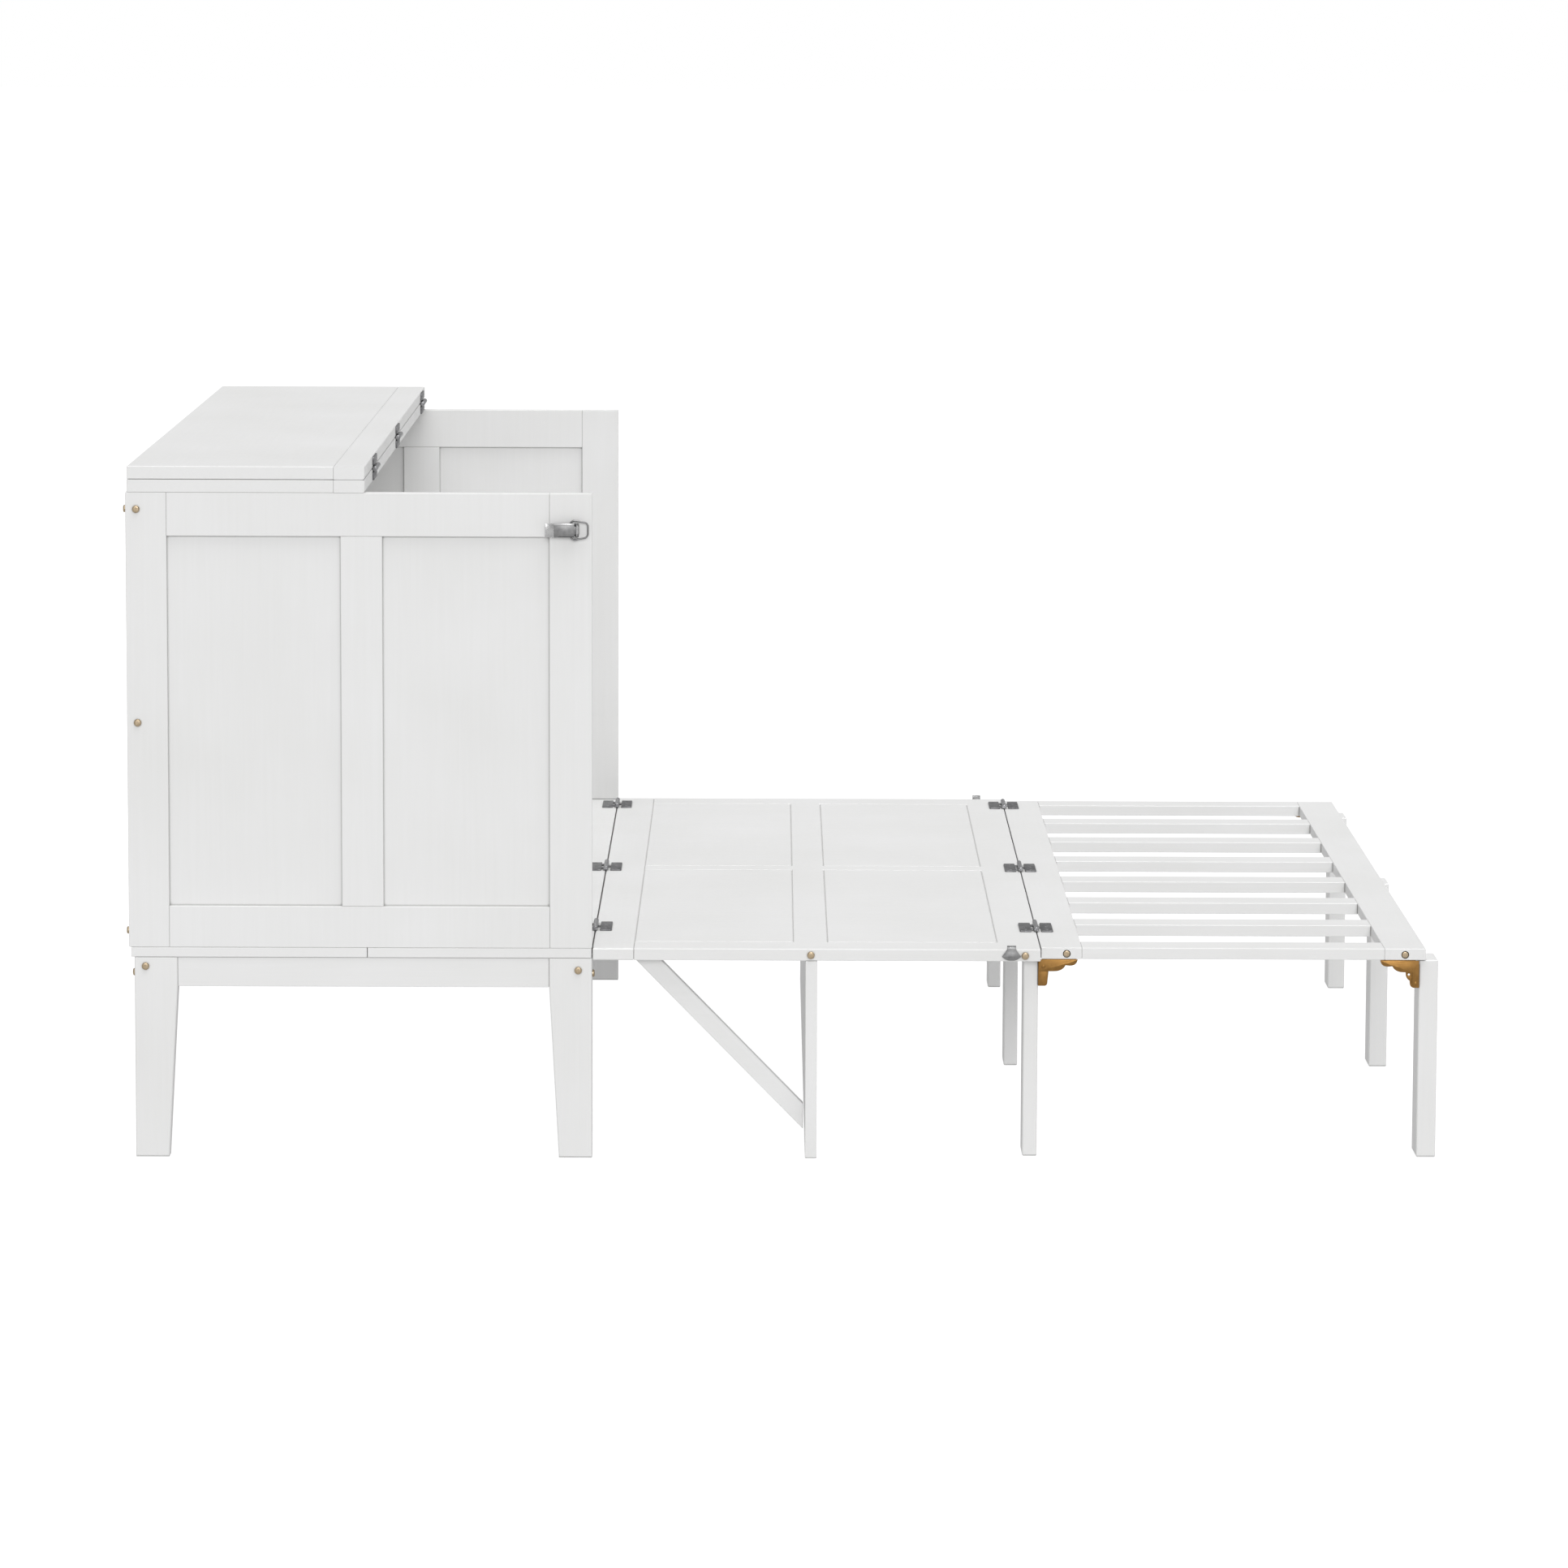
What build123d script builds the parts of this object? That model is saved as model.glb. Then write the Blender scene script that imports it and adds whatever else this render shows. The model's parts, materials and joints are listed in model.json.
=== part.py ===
from build123d import *
import os

os.makedirs("parts", exist_ok=True)

# A free-standing cabinet bed, shown opened out. The cabinet stands at the -X end. Its front
# panel is folded down level with the base, and a slatted foot section is folded out from
# the panel. +X runs from the cabinet to the foot, +Z is up and Y = 0 is the middle of the
# bed. The names near and far mean the -Y and the +Y side. X is worked out from the seam
# between the cabinet and the front panel and is moved to the middle of the bed on saving.

# ---- driving dimensions, mm ---------------------------------------------------------

width = 1600.0            # over the outer faces of the side frames
base_top = 342.0          # floor to the sleeping level
cabinet_depth = 742.6     # front of the side frames to their rear edge
side_height = 733.0       # side frames, from the base board up
panel_length = 721.0      # seam at the cabinet to the seam at the foot section
foot_length = 620.0       # slatted foot section along X
foot_width = 1560.0       # narrower than the panel, so that it folds in between the sides

board = 18.0              # side frames, back frame and aprons
base_thick = 16.0         # base board
lid_thick = 20.6          # each leaf of the lid
panel_thick = 19.0        # front panel
foot_thick = 18.5         # foot section
ease = 0.8                # small chamfer on every painted edge
panel_groove = 1.5        # half of the V that outlines each field of the front panel
seam_gap = 0.8            # air on each side of a hinged seam
slack = 0.4               # air between parts that move against each other

# cabinet joinery
rear_stile = 65.0
front_stile = 67.6
centre_stile = (-400.4, -334.1)
top_rail = 69.6
bottom_rail = 67.0
infill_thick = 4.0        # plywood infill, in the middle of the frame's thickness
back_inset = 8.0          # back frame in from the rear edge of the side frames
base_rear_inset = 3.4
base_split = -360.5       # joint across the base board
apron_depth = 48.0
apron_inset = 2.0
bearer_width = 40.0
bearer_depth = 44.0

# cabinet legs
leg_thick = 30.0
rear_leg_inset = 8.6
leg_top_width = 68.8
leg_foot_width = 53.3
leg_ease = 1.5

# lid, two leaves one on the other
lid_rear = -740.0
lid_front = -362.0
lid_edging = 48.8
lid_ease = 2.5
lid_gap = 0.6             # between the two leaves

# front panel joinery
panel_seam_rail = 67.3
panel_mid_rail = (323.4, 378.7)
panel_end_rail = 652.6
panel_side_stile = 66.0
panel_centre_stile = 43.0
panel_field_thick = 12.0

# foot section joinery
foot_seam_board = 65.8
foot_end_board = 66.3
slat_width = 57.0
slat_count = 6

# support board and braces under the front panel
support_x = (343.0, 361.5)
brace_top = (66.8, 107.1)
brace_end = 339.7
brace_low = (43.8, 84.4)
brace_thick = 19.0
brace_inset = 23.0

# folding legs
fold_leg_width = 65.0
seam_leg_x = (694.2, 717.6)
end_leg_x = (1331.0, 1361.8)

# leg brackets, measured from the face of the leg and down from the foot section
seam_pivot = (8.0, 12.5)
end_pivot = (6.0, 38.0)
bracket_plate = 2.5
bracket_reach = 63.4
bracket_shallow = 10.8
bracket_deep = 20.1
bracket_step = (30.5, 43.7)   # from the deep lobe to the shallow one
bracket_tip = 12.0            # length of the rounded end of the shallow lobe
bracket_flange = 25.0
bracket_lug = 5.4             # radius of the lug around the lower pivot
seam_arm = ((17.4, 12.5), (14.6, 40.4), (10.6, 44.4))   # width at each depth
end_arm = ((21.7, 20.0), (15.0, 34.0), (6.5, 45.9))
end_arm_top = 8.0
end_arm_hole = (16.5, 24.2, 1.8)
rivet_radius = 2.5
rivet_fit = 0.1
rivet_head = 3.1
rivet_cap = 0.8

# surface hinges at the seams and on the lid
hinge_length = 75.0
hinge_axis = 4.2          # above the faces that carry the leaves
hinge_leaf = 2.5
knuckle_radius = 4.0
knuckle_middle = 24.6
hinge_pin = 2.0
hinge_fit = 0.05
seam_leaf = (8.0, 27.0)   # leaf plate, from the axis
lid_leaf = (6.0, 19.0)
neck_width = 9.0
seam_hinge_y = (-600.0, 0.0, 715.0)
lid_hinge_y = (-573.0, 0.0, 700.0)

# butt hinges under the panel
butt_radius = 3.0
butt_axis = 3.3
butt_leaf = 1.8
butt_reach = 20.0
butt_pin = 1.5
support_hinge_y = (-560.0, 0.0, 560.0)

# draw latch and its strike
latch_height = 675.4      # above the base board
latch_pivot = -24.0
latch_pivot_out = 7.5     # pivot from the face of the side frame
latch_ear = 3.2           # half the width of the ears on the base plate
bail_pivot = -34.6
bail_wire = 1.5
bail_front = -6.2
bail_half_rear = 16.6
bail_half_front = 11.5
lever_tip = -74.0
lever_half = 11.0
strike_x = 673.4
strike_plate = 1.6
strike_tab = 6.8          # above the top of the panel
strike_neck = 14.4
strike_fan = 30.6
strike_lip = 4.0          # lip of the tab from the side of the panel

# bolts with round heads
bolt_head_radius = 6.0
bolt_head = 4.0
bolt_radius = 3.0
bolt_length = 35.0
long_bolt = 90.0
bolt_fit = 0.2
head_sink = 0.3           # sunk heads end this far inside the edge

# ---- worked-out places --------------------------------------------------------------

half = width / 2
side_top = base_top + side_height
under_base = base_top - base_thick
under_panel = base_top - panel_thick
under_foot = base_top - foot_thick
inner_half = half - board
foot_half = foot_width / 2
foot_end = panel_length + foot_length
lid_joint = lid_front - lid_edging
lid_mid = side_top + lid_thick + lid_gap / 2
lid_top = side_top + 2 * lid_thick + lid_gap
hinge_z = base_top + hinge_axis
lid_hinge_x = lid_front + hinge_axis
latch_z = base_top + latch_height
front_leg_front = 0.0
rear_leg_rear = -cabinet_depth + rear_leg_inset
support_axis = (support_x[1] + butt_axis, under_panel - butt_axis)
brace_outer = half - brace_inset
brace_inner = brace_outer - brace_thick
brace_axis_y = brace_inner - butt_axis
bracket_layers = 2 * (bracket_plate + slack)
leg_side = foot_half - bracket_layers - 0.2
rear_reach = cabinet_depth + bolt_head
front_reach = end_leg_x[1]
seam_x = (rear_reach - front_reach) / 2
leg_rows = {
    "near": -leg_side + fold_leg_width / 2,
    "centre": 0.0,
    "far": leg_side - fold_leg_width / 2,
}

# ---- helpers ------------------------------------------------------------------------


def block(x, y, z, edge=0.0):
    """A box between two X, two Y and two Z values, with its edges chamfered."""
    size = [abs(v[1] - v[0]) for v in (x, y, z)]
    centre = [(v[0] + v[1]) / 2 for v in (x, y, z)]
    solid = Pos(*centre) * Box(*size)
    return chamfer(solid.edges(), edge) if edge else solid


def rod(start, direction, radius, length):
    """A round bar from a point along a direction."""
    base = Plane(origin=start, z_dir=direction)
    return base * Cylinder(radius, length, align=(Align.CENTER, Align.CENTER, Align.MIN))


def mirrored(shape):
    """The same shape on the other side of the bed."""
    return shape.mirror(Plane.XZ)


def bolt(start, direction, length=bolt_length):
    """A button-head bolt whose head sits on a face at the start point."""
    head = rod(start, [-d for d in direction], bolt_head_radius, bolt_head)
    rim = head.edges().filter_by(GeomType.CIRCLE)
    outward = Vector(*direction) * -1
    rim = rim.sort_by(lambda e: e.center().dot(outward))[-1]
    head = fillet(rim, bolt_head * 0.6)
    return head + rod(start, direction, bolt_radius, length)


def bolt_hole(start, direction, length=bolt_length):
    """The hole that a bolt needs, a little longer and wider than the shank."""
    back = Vector(*start) - Vector(*direction)
    return rod(tuple(back), direction, bolt_radius + bolt_fit, length + 3.0)


def sunk_hole(start, direction, length=bolt_length):
    """The hole for a bolt whose head is sunk in a counterbore."""
    depth = bolt_head + 2 * head_sink
    back = Vector(*start) - Vector(*direction) * depth
    sink = rod(tuple(back), direction, bolt_head_radius + slack, depth)
    return sink + bolt_hole(start, direction, length)


def drilled(solids, holes):
    """Each solid with the holes taken out of it."""
    return [solid - holes for solid in solids]


def save(node, *shapes):
    """Write one node, moved so that X = 0 is the middle of the bed."""
    solids = [s for shape in shapes for s in shape.solids()]
    moved = [Pos(seam_x, 0, 0) * s for s in solids]
    shape = moved[0] if len(moved) == 1 else Compound(children=moved)
    export_step(shape, f"parts/{node}.step")


# ---- bolts: every place, then the bolts and the holes -------------------------------


def cabinet_bolt_places():
    """Start, direction and length of each bolt on the near side of the cabinet."""
    back_x = -cabinet_depth + back_inset + board / 2
    edge_y = -half + board / 2
    leg_y = -half + leg_thick / 2
    return [
        ((back_x, -half, base_top + 706.0), (0, 1, 0), bolt_length),
        ((back_x, -half, base_top + 363.0), (0, 1, 0), bolt_length),
        ((-716.4, -half, 311.0), (0, 1, 0), bolt_length - 8.0),
        ((-22.2, -half, 306.0), (0, 1, 0), bolt_length - 8.0),
        ((-cabinet_depth, edge_y, base_top + 706.0), (1, 0, 0), long_bolt),
        ((-cabinet_depth, edge_y, base_top + 26.0), (1, 0, 0), long_bolt),
        ((rear_leg_rear, leg_y, 299.0), (1, 0, 0), long_bolt),
        ((front_leg_front, leg_y, 299.0), (-1, 0, 0), long_bolt),
    ]


def edge_bolt_places(y, xs):
    """Bolts into the near edge of a panel, 10 mm below its top."""
    return [((x, y, base_top - 10.0), (0, 1, 0), bolt_length) for x in xs]


def both_sides(make, places):
    """One solid for each place on the near side and its mirror image."""
    near = [make(*place) for place in places]
    return near + [mirrored(shape) for shape in near]


cabinet_bolts = cabinet_bolt_places()
panel_bolts = edge_bolt_places(-half, (351.4, 695.5))
foot_bolts = edge_bolt_places(-foot_half + bolt_head + head_sink, (763.1, 1307.8))
cabinet_holes = Compound(children=both_sides(bolt_hole, cabinet_bolts))
panel_holes = Compound(children=both_sides(bolt_hole, panel_bolts))
foot_holes = Compound(children=both_sides(sunk_hole, foot_bolts))

# ---- cabinet ------------------------------------------------------------------------


def side_frame():
    """Two stiles, two long rails and a centre stile between the rails, on the near side."""
    y = (-half, -inner_half)
    rear = (-cabinet_depth, -cabinet_depth + rear_stile)
    front = (-front_stile, 0.0)
    members = [block(x, y, (base_top, side_top), ease) for x in (rear, front)]
    between = (rear[1], front[0])
    lower, upper = base_top + bottom_rail, side_top - top_rail
    members.append(block(between, y, (base_top, lower), ease))
    members.append(block(between, y, (upper, side_top), ease))
    members.append(block(centre_stile, y, (lower, upper), ease))
    return drilled(members, cabinet_holes)


def side_infill():
    """The two plywood fields of the near side frame."""
    middle = -half + board / 2
    y = (middle - infill_thick / 2, middle + infill_thick / 2)
    z = (base_top + bottom_rail, side_top - top_rail)
    rear = (-cabinet_depth + rear_stile, centre_stile[0])
    front = (centre_stile[1], -front_stile)
    return [block(x, y, z) for x in (rear, front)]


def back_frame():
    """Stiles and rails of the back, between the two side frames."""
    x = (-cabinet_depth + back_inset, -cabinet_depth + back_inset + board)
    z = (base_top, side_top)
    stile = rear_stile
    members = []
    for y in ((-inner_half, -inner_half + stile), (-stile / 2, stile / 2),
              (inner_half - stile, inner_half)):
        members.append(block(x, y, z, ease))
    for y in ((-inner_half + stile, -stile / 2), (stile / 2, inner_half - stile)):
        members.append(block(x, y, (base_top, base_top + bottom_rail), ease))
        members.append(block(x, y, (side_top - top_rail, side_top), ease))
    return drilled(members, cabinet_holes)


def back_infill():
    """The two plywood fields of the back."""
    middle = -cabinet_depth + back_inset + board / 2
    x = (middle - infill_thick / 2, middle + infill_thick / 2)
    z = (base_top + bottom_rail, side_top - top_rail)
    inner = inner_half - rear_stile
    return [block(x, y, z) for y in ((-inner, -rear_stile / 2), (rear_stile / 2, inner))]


def base_boards():
    """The base board in two pieces, joined over the middle bearer."""
    y = (-half, half)
    z = (under_base, base_top)
    rear = block((-cabinet_depth + base_rear_inset, base_split - seam_gap / 2), y, z, ease)
    front = block((base_split + seam_gap / 2, -seam_gap), y, z, ease)
    return rear, front


def tapered_leg(outer_x, inward):
    """A near cabinet leg: straight outer edge, inner edge tapered below the apron."""
    top = outer_x + inward * leg_top_width
    foot = outer_x + inward * leg_foot_width
    shoulder = under_base - apron_depth
    outline = Polyline(
        (outer_x, 0), (foot, 0), (top, shoulder), (top, under_base),
        (outer_x, under_base), close=True)
    face = Plane.XZ.offset(half) * make_face(outline)
    leg = extrude(face, -leg_thick)
    return chamfer(leg.edges().filter_by(Axis.Y, reverse=True), leg_ease)


def cabinet_legs():
    """Rear pair and front pair of legs."""
    rear = tapered_leg(rear_leg_rear, 1) - cabinet_holes
    front = tapered_leg(front_leg_front, -1) - cabinet_holes
    return [rear, mirrored(rear)], [front, mirrored(front)]


def side_apron():
    """The near apron, between the two legs and just behind their face."""
    x = (rear_leg_rear + leg_top_width, front_leg_front - leg_top_width)
    y = (-half + apron_inset, -half + apron_inset + board)
    apron = block(x, y, (under_base - apron_depth, under_base), ease)
    return apron - cabinet_holes


def cross_apron(outer_x, inward):
    """An apron across the cabinet, between a pair of legs."""
    x = (outer_x + inward * apron_inset, outer_x + inward * (apron_inset + board))
    inner = half - leg_thick
    apron = block(x, (-inner, inner), (under_base - apron_depth, under_base), ease)
    return apron - cabinet_holes


def base_bearers():
    """Three bearers across the cabinet, the middle one under the joint."""
    reach = half - apron_inset - board
    x_low = rear_leg_rear + leg_top_width
    x_high = front_leg_front - leg_top_width
    centres = ((x_low + base_split) / 2, base_split, (base_split + x_high) / 2)
    z = (under_base - bearer_depth, under_base)
    return [
        block((x - bearer_width / 2, x + bearer_width / 2), (-reach, reach), z, ease)
        for x in centres
    ]


# ---- lid ----------------------------------------------------------------------------


def lid_leaf_pair(z):
    """The board of a lid leaf and the edging strip glued to its front."""
    y = (-half, half)
    main = block((lid_rear, lid_joint), y, z, ease)
    edging = block((lid_joint, lid_front), y, z)
    long_edges = edging.edges().filter_by(Axis.Y)
    edging = chamfer(long_edges.group_by(Axis.X)[0], ease)
    edging = fillet(edging.edges().filter_by(Axis.Y).group_by(Axis.X)[-1], lid_ease)
    return main, edging


# ---- hinges -------------------------------------------------------------------------


def leaf(side, plate_span, spans):
    """A hinge leaf about the Y axis, lying below the axis on the +X or the -X side."""
    low = -hinge_axis
    x = sorted((side * plate_span[0], side * plate_span[1]))
    solid = block(x, (-hinge_length / 2, hinge_length / 2), (low, low + hinge_leaf))
    solid = chamfer(solid.edges().group_by(Axis.Z)[-1], 0.6)
    for start, end in spans:
        solid += rod((0, start, 0), (0, 1, 0), knuckle_radius, end - start)
        middle = (start + end) / 2
        reach = sorted((0.0, side * (plate_span[0] + 1.0)))
        y = (middle - neck_width / 2, middle + neck_width / 2)
        solid += block(reach, y, (low, low + hinge_leaf))
    bore = rod((0, -hinge_length, 0), (0, 1, 0), hinge_pin + hinge_fit, 2 * hinge_length)
    return solid - bore


def outer_leaf(side, plate_span):
    """The leaf with two knuckles."""
    inner = knuckle_middle / 2 + slack
    end = hinge_length / 2
    return leaf(side, plate_span, ((-end, -inner), (inner, end)))


def inner_leaf(side, plate_span):
    """The leaf with the middle knuckle."""
    return leaf(side, plate_span, ((-knuckle_middle / 2, knuckle_middle / 2),))


def pin():
    """A hinge pin with a flat head on each end."""
    end = hinge_length / 2
    solid = rod((0, -end, 0), (0, 1, 0), hinge_pin, 2 * end)
    for start, along in ((end, 1), (-end, -1)):
        solid += rod((0, start, 0), (0, along, 0), knuckle_radius - 0.8, 1.0)
    return solid


def seam_hinges(x):
    """Three hinges over a seam: the leaves and pins of the fixed side, then the others."""
    fixed = []
    moving = []
    for y in seam_hinge_y:
        place = Pos(x, y, hinge_z)
        fixed += [place * outer_leaf(-1, seam_leaf), place * pin()]
        moving.append(place * inner_leaf(1, seam_leaf))
    return fixed, moving


def lid_hinges():
    """Three hinges on the front edges of the two lid leaves."""
    fixed = []
    moving = []
    for y in lid_hinge_y:
        place = Pos(lid_hinge_x, y, lid_mid) * Rot(0, 90, 0)
        fixed += [place * outer_leaf(1, lid_leaf), place * pin()]
        moving.append(place * inner_leaf(-1, lid_leaf))
    return fixed, moving


def butt_pair(length, leaf_shift=0.0, leaf_length=None):
    """A small butt hinge about Y: fixed leaf above and towards +X, moving leaf hanging.

    The moving leaf hangs on the -X side, against the face of the part that it carries.
    """
    leaf_length = leaf_length or length
    hang = (leaf_shift - leaf_length / 2, leaf_shift + leaf_length / 2)
    third = length / 6
    axis_gap = butt_axis
    top = block((0, butt_reach), (-length / 2, length / 2), (axis_gap - butt_leaf, axis_gap))
    side = block((-axis_gap, -axis_gap + butt_leaf), hang, (-butt_reach, 0))
    middle = (-third + slack, third - slack)
    relief = butt_radius + slack
    room = rod((0, middle[0] - slack, 0), (0, 1, 0), relief, 2 * third)
    fixed = top - room
    moving = side
    for start, end in ((-length / 2, -third), (third, length / 2)):
        clear = rod((0, start - slack, 0), (0, 1, 0), relief, end - start + 2 * slack)
        moving -= clear
        fixed += rod((0, start, 0), (0, 1, 0), butt_radius, end - start)
    moving += rod((0, middle[0], 0), (0, 1, 0), butt_radius, middle[1] - middle[0])
    bore = rod((0, -length, 0), (0, 1, 0), butt_pin + hinge_fit, 2 * length)
    wire = rod((0, -length / 2, 0), (0, 1, 0), butt_pin, length)
    return (fixed - bore) + wire, moving - bore


# ---- front panel --------------------------------------------------------------------


def panel_seam_board():
    """The board of the front panel that carries the hinges to the cabinet."""
    x = (seam_gap, panel_seam_rail)
    return block(x, (-half, half), (under_panel, base_top), panel_groove)


def panel_field_spans():
    """X and Y spans of the four fields of the front panel."""
    inner = half - panel_side_stile
    centre = panel_centre_stile / 2
    xs = ((panel_seam_rail, panel_mid_rail[0]), (panel_mid_rail[1], panel_end_rail))
    ys = ((-inner, -centre), (centre, inner))
    return [(x, y) for x in xs for y in ys]


def panel_frame():
    """Side, middle, end and centre members of the front panel, glued as one frame."""
    z = (under_panel, base_top)
    frame = block((panel_seam_rail, panel_length - seam_gap), (-half, half), z, ease)
    for x, y in panel_field_spans():
        frame -= block(x, y, (under_panel - 1, base_top + 1))
        grown = [(x[0] - panel_groove, x[1] + panel_groove),
                 (y[0] - panel_groove, y[1] + panel_groove)]
        lip = Pos(sum(grown[0]) / 2, sum(grown[1]) / 2, base_top) * Rectangle(
            grown[0][1] - grown[0][0], grown[1][1] - grown[1][0])
        floor = Pos(sum(x) / 2, sum(y) / 2, base_top - panel_groove) * Rectangle(
            x[1] - x[0], y[1] - y[0])
        frame -= loft([floor.faces()[0], lip.faces()[0]])
    return frame - panel_holes


def panel_fields():
    """The four flush boards inside the frame, each with a chamfered top edge."""
    z = (base_top - panel_field_thick, base_top)
    fields = []
    for x, y in panel_field_spans():
        field = block(x, y, z)
        fields.append(chamfer(field.edges().group_by(Axis.Z)[-1], panel_groove))
    return fields


def support_board():
    """The full-width board that stands under the middle of the front panel."""
    return block(support_x, (-half, half), (0, under_panel - slack), ease)


def support_hinges():
    """Three butt hinges behind the top of the support board."""
    fixed = []
    moving = []
    for y in support_hinge_y:
        still, swing = butt_pair(60.0)
        place = Pos(support_axis[0], y, support_axis[1])
        fixed.append(place * still)
        moving.append(place * swing)
    return fixed, moving


def brace():
    """The near brace, from the front panel down to the support board."""
    top = under_panel - slack
    outline = Polyline(
        (brace_top[0], top), (brace_top[1], top), (brace_end, brace_low[1]),
        (brace_end, brace_low[0]), close=True)
    face = Plane.XZ.offset(brace_outer) * make_face(outline)
    solid = extrude(face, -brace_thick)
    return chamfer(solid.edges(), ease)


def brace_hinge():
    """The butt hinge of the near brace, with its axis along X."""
    place = Pos(brace_top[0] + 22.0, -brace_axis_y, under_panel - butt_axis) * Rot(0, 0, 90)
    return [place * part for part in butt_pair(34.0, leaf_shift=-8.0, leaf_length=18.0)]


# ---- foot section -------------------------------------------------------------------


def foot_boards():
    """The full-width boards at the seam and at the end of the foot section."""
    y = (-foot_half, foot_half)
    z = (under_foot, base_top)
    start = panel_length + seam_gap
    seam = block((start, start + foot_seam_board), y, z, ease)
    end = block((foot_end - foot_end_board, foot_end), y, z, ease)
    return seam - foot_holes, end - foot_holes


def foot_bars():
    """Side rails and slats: equal bars at equal spacing between the two boards."""
    x = (panel_length + seam_gap + foot_seam_board, foot_end - foot_end_board)
    z = (under_foot, base_top)
    first = -foot_half + slat_width / 2
    pitch = (foot_width - slat_width) / (slat_count + 1)
    bars = []
    for n in range(slat_count + 2):
        y = first + n * pitch
        bars.append(block(x, (y - slat_width / 2, y + slat_width / 2), z, ease))
    return [bars[0], bars[-1]], bars[1:-1]


# ---- folding legs and their brackets ------------------------------------------------


def folding_leg(x, y):
    """A straight leg, cut from a board as wide as the leg is deep."""
    span = (y - fold_leg_width / 2, y + fold_leg_width / 2)
    return block(x, span, (0, under_panel - slack), leg_ease)


def lobe(start, end, bulge):
    """An arc that bulges to the left of the way from start to end."""
    start = Vector(*start)
    end = Vector(*end)
    along = (end - start).normalized()
    middle = (start + end) / 2 + Vector(-along.Y, along.X) * bulge
    return ThreePointArc(start, middle, end)


def fixed_cheek(pivot):
    """Face of the cheek under the foot section: a deep lobe, then a shallow one."""
    start = slack + 0.2
    top = -(panel_thick - foot_thick) - slack
    inner, outer = bracket_step
    lobe_end = bracket_reach - bracket_tip
    outline = (
        Line((start, top), (bracket_reach, top))
        + lobe((bracket_reach, top), (lobe_end, -bracket_shallow), 2.0)
        + Line((lobe_end, -bracket_shallow), (outer, -bracket_shallow))
        + lobe((outer, -bracket_shallow), (inner, -bracket_deep), 1.8)
        + Line((inner, -bracket_deep), (start, -bracket_deep))
        + Line((start, -bracket_deep), (start, top)))
    face = make_face(outline)
    off, drop = pivot
    if drop > bracket_deep:
        web = Pos(off, -(bracket_deep + drop) / 2) * Rectangle(
            2 * bracket_lug, drop - bracket_deep + 2)
        face = face + web + Pos(off, -drop) * Circle(bracket_lug)
    return face


def seam_arm_face():
    """Face of a seam leg's arm, rounded about its pivot so that it can turn."""
    off, drop = seam_pivot
    wide, low, tip = seam_arm
    reach = wide[0] - off
    round_x = off + reach * 0.5 ** 0.5
    round_z = -drop + reach * 0.5 ** 0.5
    top = -drop + reach
    return make_face(
        Line((0, top), (off, top))
        + ThreePointArc((off, top), (round_x, round_z), (wide[0], -wide[1]))
        + Line((wide[0], -wide[1]), (low[0], -low[1]))
        + lobe((low[0], -low[1]), (tip[0], -tip[1]), 1.1)
        + Line((tip[0], -tip[1]), (0, -tip[1]))
        + Line((0, -tip[1]), (0, top)))


def end_arm_face():
    """Face of an end leg's arm: two lobes below the cheek, and a small hole."""
    wide, cusp, tip = end_arm
    face = make_face(
        Line((0, -end_arm_top), (wide[0], -end_arm_top))
        + Line((wide[0], -end_arm_top), (wide[0], -wide[1]))
        + lobe((wide[0], -wide[1]), (cusp[0], -cusp[1]), 1.6)
        + lobe((cusp[0], -cusp[1]), (tip[0], -tip[1]), 1.4)
        + Line((tip[0], -tip[1]), (0, -tip[1]))
        + Line((0, -tip[1]), (0, -end_arm_top)))
    hole_x, hole_depth, hole_radius = end_arm_hole
    return face - Pos(hole_x, -hole_depth) * Circle(hole_radius)


def bracket(pivot, arm_face, arm_top, arm_low):
    """Fixed plate and leg arm of one bracket.

    X = 0 is the face of the leg, Y = 0 the outer face of the fixed cheek and Z = 0 the
    underside of the foot section. The leg is at -X, its outer edge behind both cheeks.
    """
    off, drop = pivot
    arm_y = bracket_plate + slack
    flange_y = (bracket_plate - 0.5, bracket_flange)
    plate = extrude(Plane.XZ * fixed_cheek(pivot), -bracket_plate)
    plate += block((6.0, bracket_reach - 2.0), flange_y, (-bracket_plate, 0))
    head_y = arm_y + bracket_plate + rivet_fit
    plate += rod((off, -rivet_cap, -drop), (0, 1, 0), rivet_head, rivet_cap)
    plate += rod((off, 0, -drop), (0, 1, 0), rivet_radius, head_y)
    plate += rod((off, head_y + slack / 2, -drop), (0, 1, 0), rivet_head, 1.2)
    plate += rod((off, head_y, -drop), (0, 1, 0), rivet_radius, slack / 2)
    arm = Pos(0, arm_y, 0) * extrude(Plane.XZ * arm_face, -bracket_plate)
    arm += block((0, bracket_plate), (arm_y, bracket_flange), (-arm_low, -arm_top))
    eye = rod((off, 0, -drop), (0, 1, 0), rivet_radius + rivet_fit, bracket_layers)
    return plate, arm - eye


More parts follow.
